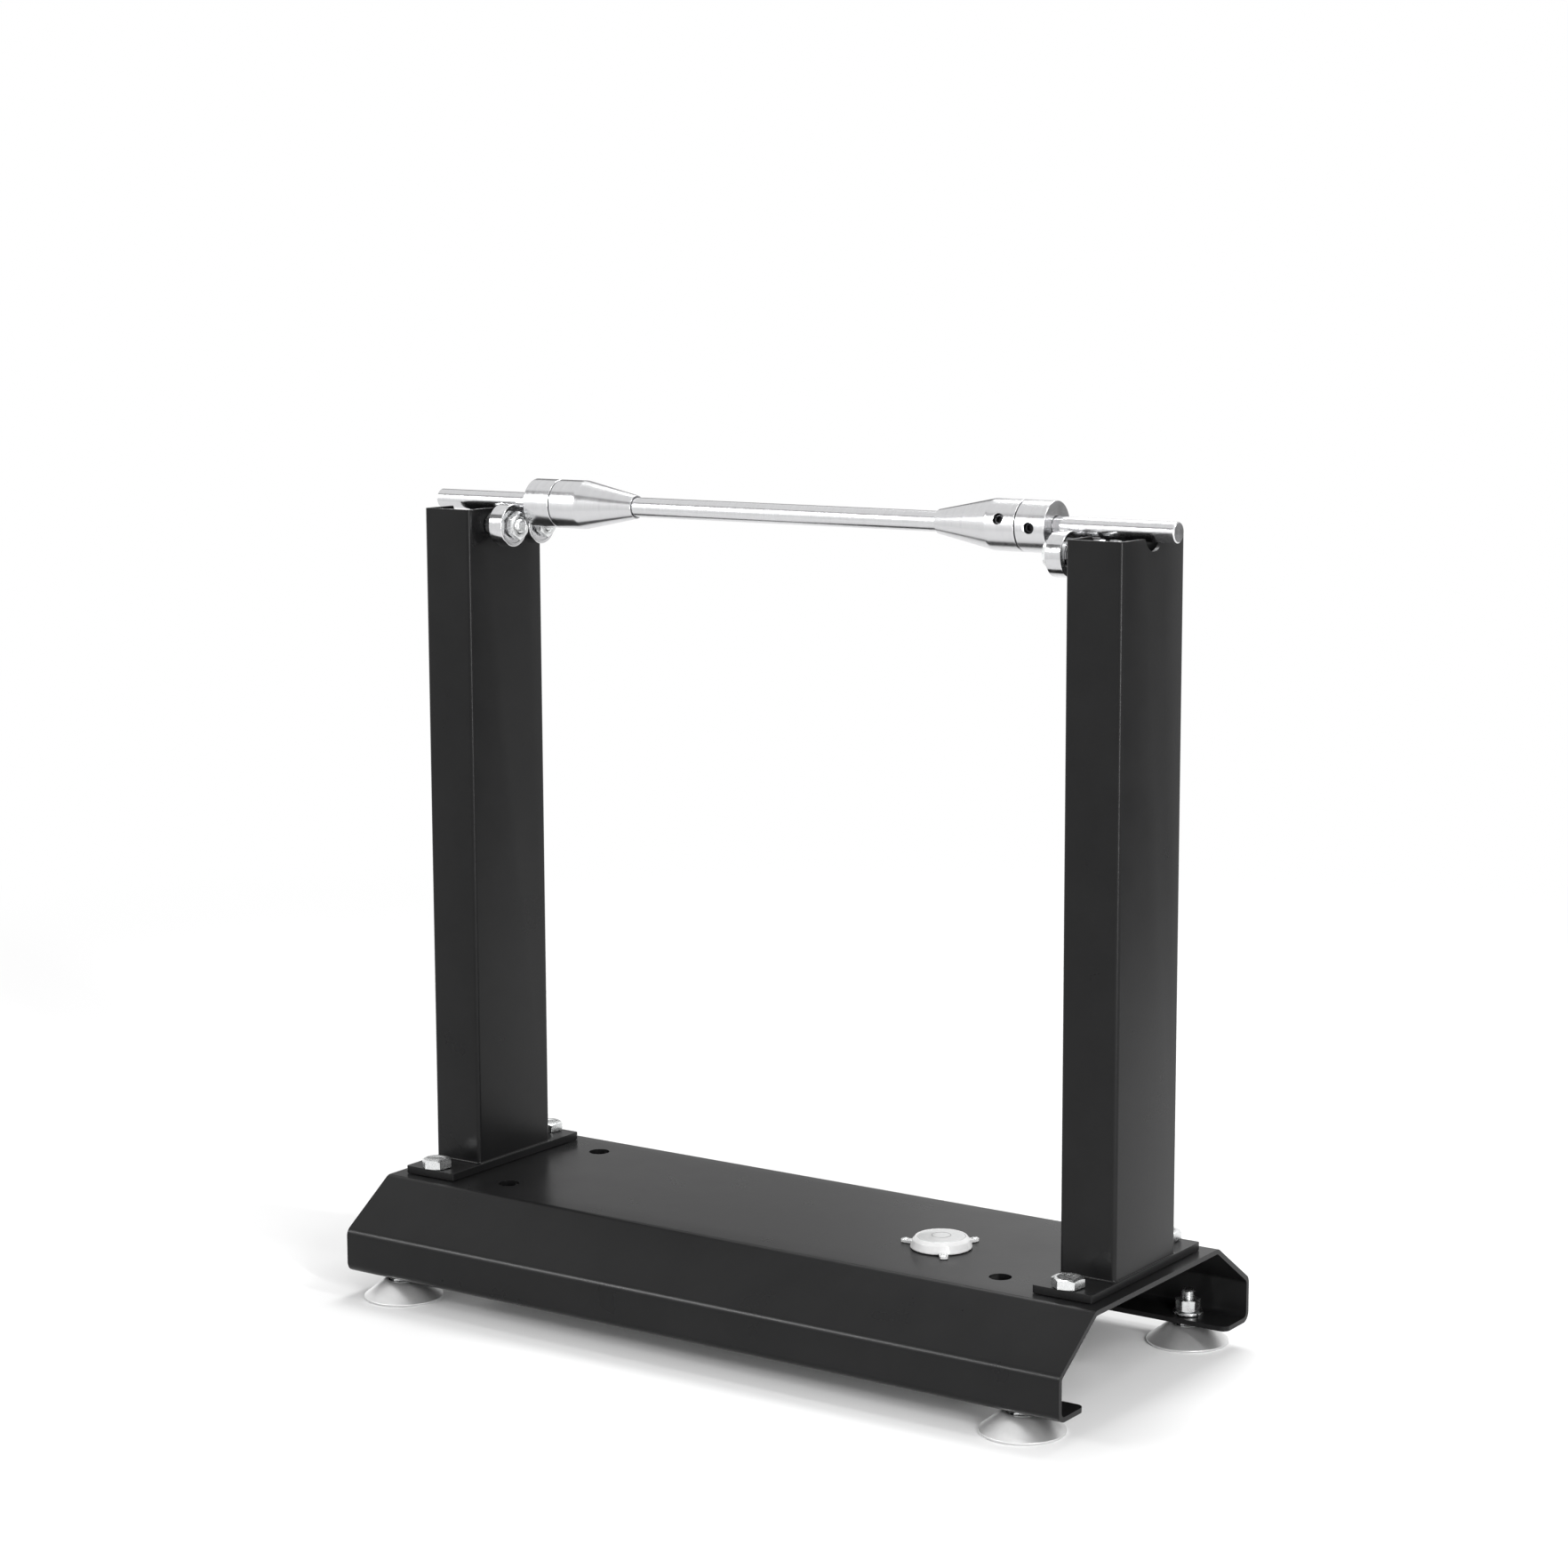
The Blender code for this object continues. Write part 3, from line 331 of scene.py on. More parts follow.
def turned_steel():
    """Bright steel off the lathe, with its tool marks round the axis."""
    marks = 1.0, 3.0, (60.0, 60.0, 5200.0)
    tones = (0.57, 0.57, 0.58), (0.65, 0.65, 0.66)
    values = {"Metallic": 1.0, "Anisotropic": 0.55}
    return clouded("turned_steel", marks, tones, (0.15, 0.24), [(marks, 0.000003)], values)


def bearing_steel():
    """Ground and polished bearing steel, near to a mirror."""
    marks = 1.0, 2.0, (80.0, 80.0, 9000.0)
    tones = (0.58, 0.58, 0.59), (0.66, 0.66, 0.67)
    reliefs = [(marks, 0.0000015)]
    return clouded("bearing_steel", (240.0, 3.0), tones, (0.10, 0.17), reliefs, {"Metallic": 1.0})


def zinc_plate():
    """Bright zinc plating, a little cloudy and finely pitted."""
    tones = (0.66, 0.67, 0.67), (0.78, 0.79, 0.79)
    reliefs = [((3400.0, 2.0), 0.000008)]
    return clouded("zinc_plate", (420.0, 4.0), tones, (0.20, 0.34), reliefs, {"Metallic": 1.0})


def spun_steel():
    """Satin steel with fine rings from the lathe, which spread the highlights into fans."""
    material, tree, shader = start_material("spun_steel")
    place = add_node(tree, "TexCoord").outputs["Object"]
    parts = add_node(tree, "SeparateXYZ", {"Vector": place})
    flat = add_node(tree, "CombineXYZ", {"X": parts.outputs["X"], "Y": parts.outputs["Y"]})
    reach = add_node(tree, "VectorMath", {0: flat.outputs["Vector"]}, operation="LENGTH")
    rings = add_node(tree, "CombineXYZ", {"X": reach.outputs["Value"], "Y": parts.outputs["Z"]})
    values = {"Vector": rings.outputs["Vector"], "Scale": 5200.0, "Detail": 2.0}
    marks = add_node(tree, "TexNoise", values).outputs["Fac"]
    cloud = noise(tree, 130.0, 3.0)
    fill(tree, shader, {
        "Base Color": shades(tree, cloud, (0.68, 0.68, 0.68), (0.75, 0.75, 0.75)),
        "Roughness": between(tree, marks, 0.30, 0.40),
        "Metallic": 0.8,
        "Anisotropic": 0.8,
        "Tangent": round_axis(tree),
        "Normal": bump(tree, marks, 0.000006),
    })
    return material


def black_oxide():
    """Blackened hardened steel with a trace of oil."""
    cloud = 700.0, 3.0
    tones = (0.025, 0.025, 0.027), (0.055, 0.055, 0.058)
    return clouded("black_oxide", cloud, tones, (0.26, 0.40), [(cloud, 0.000006)], {"Metallic": 0.85})


def white_acrylic():
    """The level's moulded body: milky acrylic that lets a little light through."""
    cloud = 260.0, 2.0
    tones = (0.80, 0.80, 0.80), (0.86, 0.86, 0.86)
    values = {"Transmission Weight": 0.05, "IOR": ACRYLIC_IOR}
    return clouded("white_acrylic", cloud, tones, (0.08, 0.16), [(cloud, 0.000008)], values)


def clear_acrylic():
    """The level's lens: milky acrylic with faint flow marks."""
    cloud = 320.0, 2.0
    tones = (0.74, 0.75, 0.75), (0.79, 0.79, 0.79)
    values = {"Transmission Weight": 0.25, "IOR": ACRYLIC_IOR}
    return clouded("clear_acrylic", cloud, tones, (0.06, 0.12), [(cloud, 0.000004)], values)


def level_liquid():
    """Pale spirit, slightly uneven in tone."""
    tones = (0.80, 0.83, 0.80), (0.87, 0.89, 0.87)
    values = {"Transmission Weight": 0.35, "IOR": SPIRIT_IOR}
    return clouded("level_liquid", (180.0, 2.0), tones, (0.06, 0.12), [], values)


def printed_black():
    """The printed target ring of the level."""
    tones = (0.16, 0.16, 0.16), (0.24, 0.24, 0.24)
    return clouded("printed_black", (2200.0, 2.0), tones, (0.45, 0.6), [], {})


def apply_modifiers(obj):
    """The object's evaluated shape as a mesh of its own; the object and its cutters go."""
    bpy.context.view_layer.update()
    graph = bpy.context.evaluated_depsgraph_get()
    mesh = bpy.data.meshes.new_from_object(obj.evaluated_get(graph))
    mesh.name = obj.name
    for modifier in list(obj.modifiers):
        if modifier.type == "BOOLEAN":
            bpy.data.objects.remove(modifier.object, do_unlink=True)
    bpy.data.objects.remove(obj, do_unlink=True)
    return mesh


def temporary(name, mesh, place=Matrix()):
    obj = bpy.data.objects.new(name, mesh)
    bpy.context.scene.collection.objects.link(obj)
    obj.matrix_world = place
    return obj


def combine(target, operation, name, mesh, place):
    """Joins a mesh to the target or cuts it out once its modifiers are applied."""
    modifier = target.modifiers.new(name, "BOOLEAN")
    modifier.operation = operation
    modifier.solver = "EXACT"
    modifier.object = temporary(name, mesh, place)


def drill(target, name, radius, low, high, place, faces=THREAD_FACES):
    """Cuts a round hole from low to high along the place's Z axis."""
    cutter = turned(name, [(0, high), (radius, high), (radius, low), (0, low)], faces)
    combine(target, "DIFFERENCE", name, cutter, place)


def softened(obj, width, steps=2):
    """The object's shape with every hard edge rounded by a small radius and the flats shaded flat."""
    obj = temporary(obj.name, apply_modifiers(obj))
    obj.data.shade_smooth()
    bevel = obj.modifiers.new("edges", "BEVEL")
    bevel.width = width
    bevel.segments = steps
    bevel.limit_method = "ANGLE"
    bevel.angle_limit = SHARP_ANGLE
    bevel.harden_normals = True
    return apply_modifiers(obj)


def shade(mesh):
    """Smooth shading with hard edges kept, and flat faces kept flat."""
    mesh.shade_smooth()
    mesh.set_sharp_from_angle(angle=SHARP_ANGLE)
    obj = temporary(mesh.name, mesh)
    weighted = obj.modifiers.new("normals", "WEIGHTED_NORMAL")
    weighted.keep_sharp = True
    return apply_modifiers(obj)


def rounded_path(corners, radii, steps=ARC_STEPS, closed=False):
    """The points of a path of straight runs, with an arc of each corner's radius at that corner."""
    corners = [Vector(corner) for corner in corners]
    count = len(corners)
    points = []
    for index, (corner, radius) in enumerate(zip(corners, radii)):
        is_end = not closed and index in (0, count - 1)
        if radius == 0 or is_end:
            points.append(corner.copy())
            continue
        before = (corners[index - 1] - corner).normalized()
        after = (corners[(index + 1) % count] - corner).normalized()
        half = before.angle(after) / 2
        centre = corner + (before + after).normalized() * (radius / sin(half))
        start = corner + before * (radius / tan(half)) - centre
        sweep = pi - 2 * half
        if before.cross(after) > 0:
            sweep = -sweep
        for step in range(steps + 1):
            turn = Matrix.Rotation(sweep * step / steps, 2)
            points.append(centre + turn @ start)
    return points


def finished(name, shape):
    """The shape as a mesh."""
    mesh = bpy.data.meshes.new(name)
    shape.to_mesh(mesh)
    shape.free()
    return mesh


def loft(name, rings, closed=False, capped=False):
    """A surface through rings of points. A ring of one point is a pole; closed joins the two ends."""
    shape = bmesh.new()
    rows = [[shape.verts.new(point) for point in ring] for ring in rings]
    pairs = list(zip(rows, rows[1:]))
    if closed:
        pairs.append((rows[-1], rows[0]))
    for upper, lower in pairs:
        count = max(len(upper), len(lower))
        for index in range(count):
            after = (index + 1) % count
            corners = [upper[index % len(upper)], lower[index % len(lower)]]
            corners += [lower[after % len(lower)], upper[after % len(upper)]]
            shape.faces.new(list(dict.fromkeys(corners)))
    if capped:
        shape.faces.new(rows[0])
        shape.faces.new(rows[-1])
    bmesh.ops.recalc_face_normals(shape, faces=shape.faces)
    return finished(name, shape)


def circle(angles, radius, height):
    """A level ring of points about Z."""
    return [(radius * cos(angle), radius * sin(angle), height) for angle in angles]


def turned(name, profile, faces=ROUND_FACES, closed=False):
    """A shape turned about Z from a profile of (radius, height) points."""
    angles = [2 * pi * index / faces for index in range(faces)]
    rings = []
    for radius, height in profile:
        if radius == 0:
            rings.append([(0, 0, height)])
        else:
            rings.append(circle(angles, radius, height))
    return loft(name, rings, closed)


def arc(reach, level, width, height, sweep, steps=ARC_STEPS):
    """Points of a profile round (reach, level), from above it outwards; negative sizes turn it over."""
    turns = [sweep * step / steps for step in range(steps + 1)]
    return [(reach + width * sin(turn), level + height * cos(turn)) for turn in turns]


def outline_block(name, outline, bottom, top):
    """A block that stands on an outline of (x, y) points."""
    shape = bmesh.new()
    floor = [shape.verts.new((x, y, bottom)) for x, y in outline]
    face = shape.faces.new(floor)
    drawn = bmesh.ops.extrude_face_region(shape, geom=[face])["geom"]
    moved = [item for item in drawn if isinstance(item, bmesh.types.BMVert)]
    bmesh.ops.translate(shape, verts=moved, vec=(0, 0, top - bottom))
    bmesh.ops.recalc_face_normals(shape, faces=shape.faces)
    return finished(name, shape)


def drawn_sheet(name, path, sweep, closed=False):
    """An open surface: a path of 3D points drawn out along a straight line."""
    shape = bmesh.new()
    sweep = Vector(sweep)
    near = [shape.verts.new(point) for point in path]
    far = [shape.verts.new(Vector(point) + sweep) for point in path]
    pairs = list(zip(range(len(path)), range(1, len(path))))
    if closed:
        pairs.append((len(path) - 1, 0))
    for first, second in pairs:
        shape.faces.new((near[first], near[second], far[second], far[first]))
    return finished(name, shape)


def thicken(obj, thickness, side):
    """Gives a drawn sheet its thickness, to the left (1) or the right (-1) of its path."""
    solidify = obj.modifiers.new("sheet", "SOLIDIFY")
    solidify.thickness = thickness
    solidify.offset = side
    solidify.use_even_offset = True


def middle(node):
    low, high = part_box(node)
    return (low + high) / 2


def size(node):
    low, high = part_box(node)
    return high - low


def upright_line(node):
    """Where a vertical through a node's middle meets the floor."""
    centre = middle(node)
    return Matrix.Translation((centre.x, centre.y, 0))


def standing(node):
    """Where that vertical meets the level of the node's lowest point."""
    return upright_line(node) @ Matrix.Translation((0, 0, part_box(node)[0].z))


def pointing_in(node, across):
    """The frame of a piece along X: its origin at the outer end, its Z axis towards the middle."""
    low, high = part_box(node)
    centre = middle(node)
    outer = high.x if across > 0 else low.x
    return Matrix.Translation((outer, centre.y, centre.z)) @ Matrix.Rotation(-across * pi / 2, 4, "Y")


def add_piece(name, mesh, material, place, body):
    """A piece of the scene alone, on its body and with a slot's finish."""
    obj = temporary(name, mesh, place)
    if not mesh.materials:
        mesh.materials.append(material)
    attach(obj, body)
    return obj


def dress(node, mesh, material, place=Matrix()):
    """Puts a fine piece in the place of a node, on the same body and with the same finish."""
    obj = add_piece("fine_" + node, mesh, material, place, BODY_OF[node])
    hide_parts(node)
    return obj


def make_base(material):
    """The bent sheet base with rounded bends, lip corners and holes, and a neck under each spare hole."""
    low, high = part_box("base_channel")
    half_top = TOP_WIDTH / 2
    half_width = high.y
    lip_end = half_width - LIP_WIDTH
    side_z = low.z + SIDE_HEIGHT
    half = [(lip_end, low.z), (half_width, low.z), (half_width, side_z), (half_top, high.z)]
    corners = [(-across, level) for across, level in half] + half[::-1]
    radii = [0] + [BEND_RADIUS] * (len(corners) - 2) + [0]
    path = [(low.x, point.x, point.y) for point in rounded_path(corners, radii, BEND_STEPS)]
    sheet = drawn_sheet("channel", path, (high.x - low.x, 0, 0))
    base = temporary("channel", sheet)
    rounding = base.vertex_groups.new(name="lip_corners")
    ends = [vert.index for vert in sheet.vertices if abs(abs(vert.co.y) - lip_end) < TOLERANCE]
    rounding.add(ends, 1, "REPLACE")
    bevel = base.modifiers.new("lip_corners", "BEVEL")
    bevel.affect = "VERTICES"
    bevel.limit_method = "VGROUP"
    bevel.vertex_group = "lip_corners"
    bevel.width = LIP_CORNER
    bevel.segments = BEND_STEPS
    thicken(base, SHEET, 1)
    top = high.z - 2 * SHEET, high.z + SHEET
    lip = low.z - SHEET, low.z + 2 * SHEET
    spare_places = {}
    for name, across, along in CORNERS:
        place = Matrix.Translation((across * SPARE_HOLE[0], along * SPARE_HOLE[1], 0))
        spare_places[name] = place
        drill(base, name + "_spare", SPARE_HOLE_RADIUS, *top, place, ROUND_FACES)
        drill(base, name + "_bolt", BOLT_HOLE_RADIUS, *top, upright_line(name + "_flange_bolt"))
        drill(base, name + "_stud", STUD_HOLE_RADIUS, *lip, upright_line(name + "_foot_stud"))
    dress("base_channel", softened(base, SHEET_EDGE), material)
    inner, outer = SPARE_HOLE_RADIUS, SPARE_HOLE_RADIUS + NECK_WALL
    root = high.z - SHEET + NECK_ROOT
    tip = high.z - SHEET - NECK_DROP
    corners = [(inner, root), (outer, root), (outer, tip), (inner, tip)]
    profile = rounded_path(corners, [0, 0, NECK_EDGE, NECK_EDGE], closed=True)
    neck = shade(turned("hole_neck", profile, closed=True))
    for name, place in spare_places.items():
        add_piece(name + "_hole_neck", neck, material, place, "frame")


def tube_section(low, high):
    """The outline of a tube seen from above, within its box."""
    corners = [(high.x, low.y), (high.x, high.y), (low.x, high.y), (low.x, low.y)]
    return rounded_path(corners, [TUBE_CORNER] * len(corners), BEND_STEPS, closed=True)


def make_upright(side, material):
    """A rectangular tube with smooth corners, its notch and its bearing bolts' holes."""
    node = side + "_upright_tube"
    low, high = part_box(node)
    path = [(point.x, point.y, low.z) for point in tube_section(low, high)]
    tube = temporary("tube", drawn_sheet("tube", path, (0, 0, high.z - low.z), closed=True))
    thicken(tube, TUBE_WALL, -1)
    across_x = Matrix.Rotation(pi / 2, 4, "Y")
    centre = middle(node)
    centre.z = middle("shaft").z
    reach = (high.x - low.x) / 2 + OVERRUN
    notch = Matrix.Translation(centre) @ across_x
    drill(tube, node + "_notch", NOTCH_RADIUS, -reach, reach, notch, WIDE_FACES)
    reach = 2 * TUBE_WALL
    for end, _ in ENDS:
        axle = middle(side + "_" + end + "_bearing_outer_ring")
        axle.x = low.x if abs(low.x) < abs(high.x) else high.x
        place = Matrix.Translation(axle) @ across_x
        drill(tube, node + end + "_axle", AXLE_HOLE_RADIUS, -reach, reach, place)
    dress(node, softened(tube, TUBE_EDGE), material)


def make_weld(side, material):
    """The painted fillet round the foot of an upright, with the weld's faint ripple."""
    foot = tube_section(*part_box(side + "_upright_tube"))
    plate_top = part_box(side + "_flange_plate")[1].z
    path = []
    for start, stop in zip(foot, foot[1:] + foot[:1]):
        steps = max(1, round((stop - start).length / WELD_STEP))
        path += [start.lerp(stop, step / steps) for step in range(steps)]
    walked = 0
    rings = []
    for index, point in enumerate(path):
        run = path[(index + 1) % len(path)] - path[index - 1]
        outward = Vector((run.y, -run.x)).normalized()
        walked += run.length / 2
        leg = WELD_LEG + WELD_RIPPLE * sin(2 * pi * walked / WELD_PITCH)
        section = arc(leg, leg, -leg, -leg, pi / 2)
        section += [(-TUBE_WALL / 2, WELD_LEG), (-TUBE_WALL / 2, -PLATE_EDGE), (leg, -PLATE_EDGE)]
        rings.append([(*(point + outward * reach), plate_top + level) for reach, level in section])
    mesh = shade(loft(side + "_upright_weld", rings, closed=True))
    add_piece(side + "_upright_weld", mesh, material, Matrix(), "frame")


def make_plate(side, material):
    """The flange plate, with broken edges and two bolt holes."""
    node = side + "_flange_plate"
    low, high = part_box(node)
    corners = [(low.x, low.y), (high.x, low.y), (high.x, high.y), (low.x, high.y)]
    outline = rounded_path(corners, [PLATE_CORNER] * len(corners), closed=True)
    plate = temporary("plate", outline_block("plate", outline, low.z, high.z))
    hole = BOLT_HOLE_RADIUS, low.z - OVERRUN, high.z + OVERRUN
    for end, _ in ENDS:
        name = side + "_" + end + "_flange_bolt"
        drill(plate, name + "_hole", *hole, upright_line(name))
    dress(node, softened(plate, PLATE_EDGE, EDGE_STEPS), material)


def hexagon(across):
    """A hexagon with slightly rounded corners and extra points along its flats.

    Gives its points, the turn of each about Z, and the radius where its chamfer starts."""
    reach = across / 2 / HEX_SHARE
    turns = [pi * index / 3 + pi / 6 for index in range(6)]
    corners = [(reach * cos(turn), reach * sin(turn)) for turn in turns]
    rounded = rounded_path(corners, [HEX_EDGE] * 6, HEX_CORNER_STEPS, closed=True)
    points = []
    for start, stop in zip(rounded, rounded[1:] + rounded[:1]):
        steps = HEX_SIDE_STEPS if (stop - start).length > across / 4 else 1
        points += [start.lerp(stop, step / steps) for step in range(steps)]
    angles = [-Vector((1, 0)).angle_signed(point) for point in points]
    return points, angles, across / 2 - CHAMFER_LAND


def raised(outline, level, share=1.0):
    """The outline's points at a level, at a share of their distance from Z."""
    return [(point.x * share, point.y * share, level) for point in outline]


def chamfered_hex(outline, land, level, inward):
    """The outline's points at a level, let down towards inward (-1 or 1) where a cone cuts the corners."""
    points = []
    for point in outline:
        drop = (point.length - land) * tan(CHAMFER_ANGLE)
        points.append((point.x, point.y, level + inward * drop))
    return points


def thread(angles, radius, pitch, depth, start, stop, start_plain, stop_chamfer):
    """Rings along a threaded rod between two heights, plain at the start and chamfered at the end."""
    length = abs(stop - start)
    heading = 1 if stop > start else -1
    count = max(2, round(length / pitch * THREAD_STEPS))
    rings = []
    for step in range(count + 1):
        done = length * step / count
        left = length - done
        fade = min(1.0, max(0.0, (done - start_plain) / pitch))
        ring = []
        for angle in angles:
            share = (done / pitch + heading * angle / (2 * pi)) % 1
            wave = abs(2 * share - 1)
            wave = min(1.0, max(0.0, (wave - THREAD_CREST_SHARE) / (1 - 2 * THREAD_CREST_SHARE)))
            reach = radius - depth * fade * wave
            reach = min(reach, radius - stop_chamfer + left)
            ring.append((reach * cos(angle), reach * sin(angle), start + heading * done))
        rings.append(ring)
    return rings


def hex_bolt(name, across, head, radius, length):
    """A hexagon bolt, its head's top at 0 and its thread's end at length, along Z."""
    outline, angles, land = hexagon(across)
    rings = []
    for share, depth_share in HEAD_DISH_SHARES:
        level = HEAD_DISH * depth_share
        rings.append(circle(angles, land * share, level) if share else [(0, 0, level)])
    face = head - WASHER_FACE
    rings += [circle(angles, land, 0), chamfered_hex(outline, land, 0, 1), raised(outline, face)]
    rings += [circle(angles, land, face), circle(angles, land, head), circle(angles, radius, head)]
    rings += thread(angles, radius, THREAD_PITCH, THREAD_DEPTH, head, length, THREAD_START, THREAD_END)
    rings.append([(0, 0, length)])
    return shade(loft(name, rings))


def hex_nut(name, across, height, bore, flat_top=False):
    """A hexagon nut along Z from 0, chamfered below, chamfered or flat above, its bore countersunk."""
    outline, angles, land = hexagon(across)
    if flat_top:
        top = [raised(outline, height - BORE_GAP / 2), raised(outline, height, 1 - BORE_GAP / across)]
    else:
        top = [chamfered_hex(outline, land, height, -1), circle(angles, land, height)]
    rings = [
        circle(angles, bore + BORE_CHAMFER, 0),
        circle(angles, land, 0),
        chamfered_hex(outline, land, 0, 1),
        *top,
        circle(angles, bore + BORE_CHAMFER, height),
        circle(angles, bore, height - BORE_CHAMFER),
        circle(angles, bore, BORE_CHAMFER),
    ]
    return shade(loft(name, rings, closed=True))


def make_flange_bolts(material):
    """The bolts and nuts that hold the flange plates on the base."""
    spin = Matrix.Rotation(FLANGE_BOLT_TURN, 4, "Z") @ Matrix.Rotation(pi, 4, "X")
    length = size("left_front_flange_bolt").z
    bolt = hex_bolt("flange_bolt", FLANGE_HEX, FLANGE_HEAD, FLANGE_BOLT_RADIUS, length)
    height = size("left_front_flange_nut").z
    nut = hex_nut("flange_nut", FLANGE_HEX, height, FLANGE_BOLT_RADIUS + BORE_GAP)
    for name, _, _ in CORNERS:
        top = middle(name + "_flange_bolt")
        top.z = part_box(name + "_flange_bolt")[1].z
        dress(name + "_flange_bolt", bolt, material, Matrix.Translation(top) @ spin)
        dress(name + "_flange_nut", nut, material, standing(name + "_flange_nut"))


def outer_ring(width, radius):
    """A bearing's outer ring with rounded rims, its raceway and a pressed shield in each face."""
    land = radius - OUTER_SHOULDER
    seal = INNER_RING_RADIUS + SHIELD_GAP
    corners = [(land, 0), (radius, 0), (radius, width), (land, width)]
    outside = rounded_path(corners, [0, BEARING_ROUNDING, BEARING_ROUNDING, 0])
    groove = arc(land, width / 2, RACEWAY, BALL_RADIUS, pi)
    step_in = SHIELD_RECESS + SHIELD_STEP
    near = [
        (land, SHIELD_RECESS + SHIELD_SHEET),
        (seal, step_in + SHIELD_SHEET),
        (seal, step_in),
        (seal + SHIELD_LIP, step_in),
        (seal + SHIELD_LIP + SHIELD_STEP, SHIELD_RECESS),
        (land - SHIELD_STEP, SHIELD_RECESS),
        (land, step_in),
    ]
    far = [(reach, width - level) for reach, level in reversed(near)]
    return shade(turned("outer_ring", outside + far + groove + near, closed=True))


def inner_ring(width, bore):
    """A bearing's inner ring with broken edges and its raceway."""
    outside = [(INNER_RING_RADIUS, 0)]
    outside += arc(INNER_RING_RADIUS, width / 2, -RACEWAY, -BALL_RADIUS, pi)
    outside.append((INNER_RING_RADIUS, width))
    edge = BORE_GAP
    bore_side = [(bore + edge, width), (bore, width - edge), (bore, edge), (bore + edge, 0)]
    return shade(turned("inner_ring", outside + bore_side, closed=True))


def ball_cage(width):
    """A bearing's seven balls and the band that spaces them."""
    shape = bmesh.new()
    half = width / 2
    inside = BALL_PITCH_RADIUS - CAGE_RADIAL / 2
    outside = BALL_PITCH_RADIUS + CAGE_RADIAL / 2
    low = half - CAGE_WIDTH / 2
    high = half + CAGE_WIDTH / 2
    band = turned("band", [(outside, high), (outside, low), (inside, low), (inside, high)], closed=True)
    shape.from_mesh(band)
    for index in range(BALL_COUNT):
        turn = Matrix.Rotation(2 * pi * index / BALL_COUNT, 4, "Z")
        place = turn @ Matrix.Translation((BALL_PITCH_RADIUS, 0, half))
        bmesh.ops.create_uvsphere(
            shape, u_segments=BALL_SEGMENTS, v_segments=BALL_RINGS, radius=BALL_RADIUS, matrix=place
        )
    return shade(finished("ball_cage", shape))


def spacer_tube(length, bore):
    """The spacer between a bearing and its upright, with soft edges."""
    corners = [(INNER_RING_RADIUS, 0), (INNER_RING_RADIUS, length), (bore, length), (bore, 0)]
    return shade(turned("spacer", rounded_path(corners, [BORE_GAP] * 4, closed=True), closed=True))


def make_bearings(steel, zinc):
    """Each bearing with its rings, balls, bolt, thin nut and spacer."""
    example = "left_front_bearing_"
    bore = AXLE_RADIUS + BORE_GAP
    width = size(example + "outer_ring").x
    length = size(example + "bolt").x
    shapes = {
        "outer_ring": (outer_ring(width, size(example + "outer_ring").z / 2), steel),
        "inner_ring": (inner_ring(width, bore), steel),
        "ball_cage": (ball_cage(width), steel),
        "spacer": (spacer_tube(size(example + "spacer").x, bore), zinc),
        "bolt": (hex_bolt("bearing_bolt", AXLE_HEX, AXLE_HEAD, AXLE_RADIUS, length), zinc),
        "nut": (hex_nut("bearing_nut", AXLE_HEX, size(example + "nut").x, bore), zinc),
    }
    for name, across, _ in CORNERS:
        for kind, (mesh, material) in shapes.items():
            seat = "outer_ring" if kind == "ball_cage" else kind
            place = pointing_in(name + "_bearing_" + seat, across)
            if kind == "nut":
                place = place @ Matrix.Rotation(AXLE_NUT_TURN, 4, "Z")
            dress(name + "_bearing_" + kind, mesh, material, place)


def make_shaft(material):
    """The shaft, with a broken edge and a faced end at each side."""
    extent = size("shaft")
    radius = extent.z / 2
    half = extent.x / 2
    edge = SHAFT_CHAMFER
    profile = [(0, half), (radius - edge, half), (radius, half - edge)]
    profile += [(reach, -level) for reach, level in reversed(profile)]
    mesh = shade(turned("shaft_rod", profile, WIDE_FACES))
    place = Matrix.Translation(middle("shaft")) @ Matrix.Rotation(pi / 2, 4, "Y")
    dress("shaft", mesh, material, place)


def screw_turn(kind, across):
    """The turn that points a set screw's Z axis out of its cone or collar."""
    tilt = SCREW_TILTS[kind]
    out = Vector((0, -cos(tilt) * across, sin(tilt) * across))
    return out.to_track_quat("Z", "Y").to_matrix().to_4x4()


def make_slider(side, across, kind, material):
    """A cone or a collar: turned, drilled for its set screw and countersunk."""
    node = side + "_" + kind
    extent = size(node)
    length = extent.x
    radius = extent.z / 2
    bore = size("shaft").z / 2 + BORE_GAP
    if kind == "cone":
        tip = bore + CONE_TIP_WALL
        corners = [(bore, length), (tip, length), (radius, CONE_BARREL), (radius, 0), (bore, 0)]
        radii = [BORE_GAP / 2, BORE_GAP / 2, CONE_BEND, COLLAR_CHAMFER, COLLAR_CHAMFER]
    else:
        corners = [(bore, length), (radius, length), (radius, 0), (bore, 0)]
        radii = [COLLAR_CHAMFER] * 4
    profile = rounded_path(corners, radii, closed=True)
    place = pointing_in(node, across)
    body = temporary("slider", turned("slider", profile, WIDE_FACES, closed=True), place)
    start = place @ Vector((0, 0, SCREW_INSETS[kind]))
    hole = SCREW_HOLE_RADIUS
    edge = SCREW_HOLE_CHAMFER
    flare = hole + edge + OVERRUN
    above = radius + OVERRUN
    cut = [(0, above), (flare, above), (hole, radius - edge), (hole, 0), (0, 0)]
    cutter = turned("countersunk_hole", cut, THREAD_FACES)
    aim = Matrix.Translation(start) @ screw_turn(kind, across)
    combine(body, "DIFFERENCE", node + "_hole", cutter, aim)
    dress(node, shade(apply_modifiers(body)), material, place)


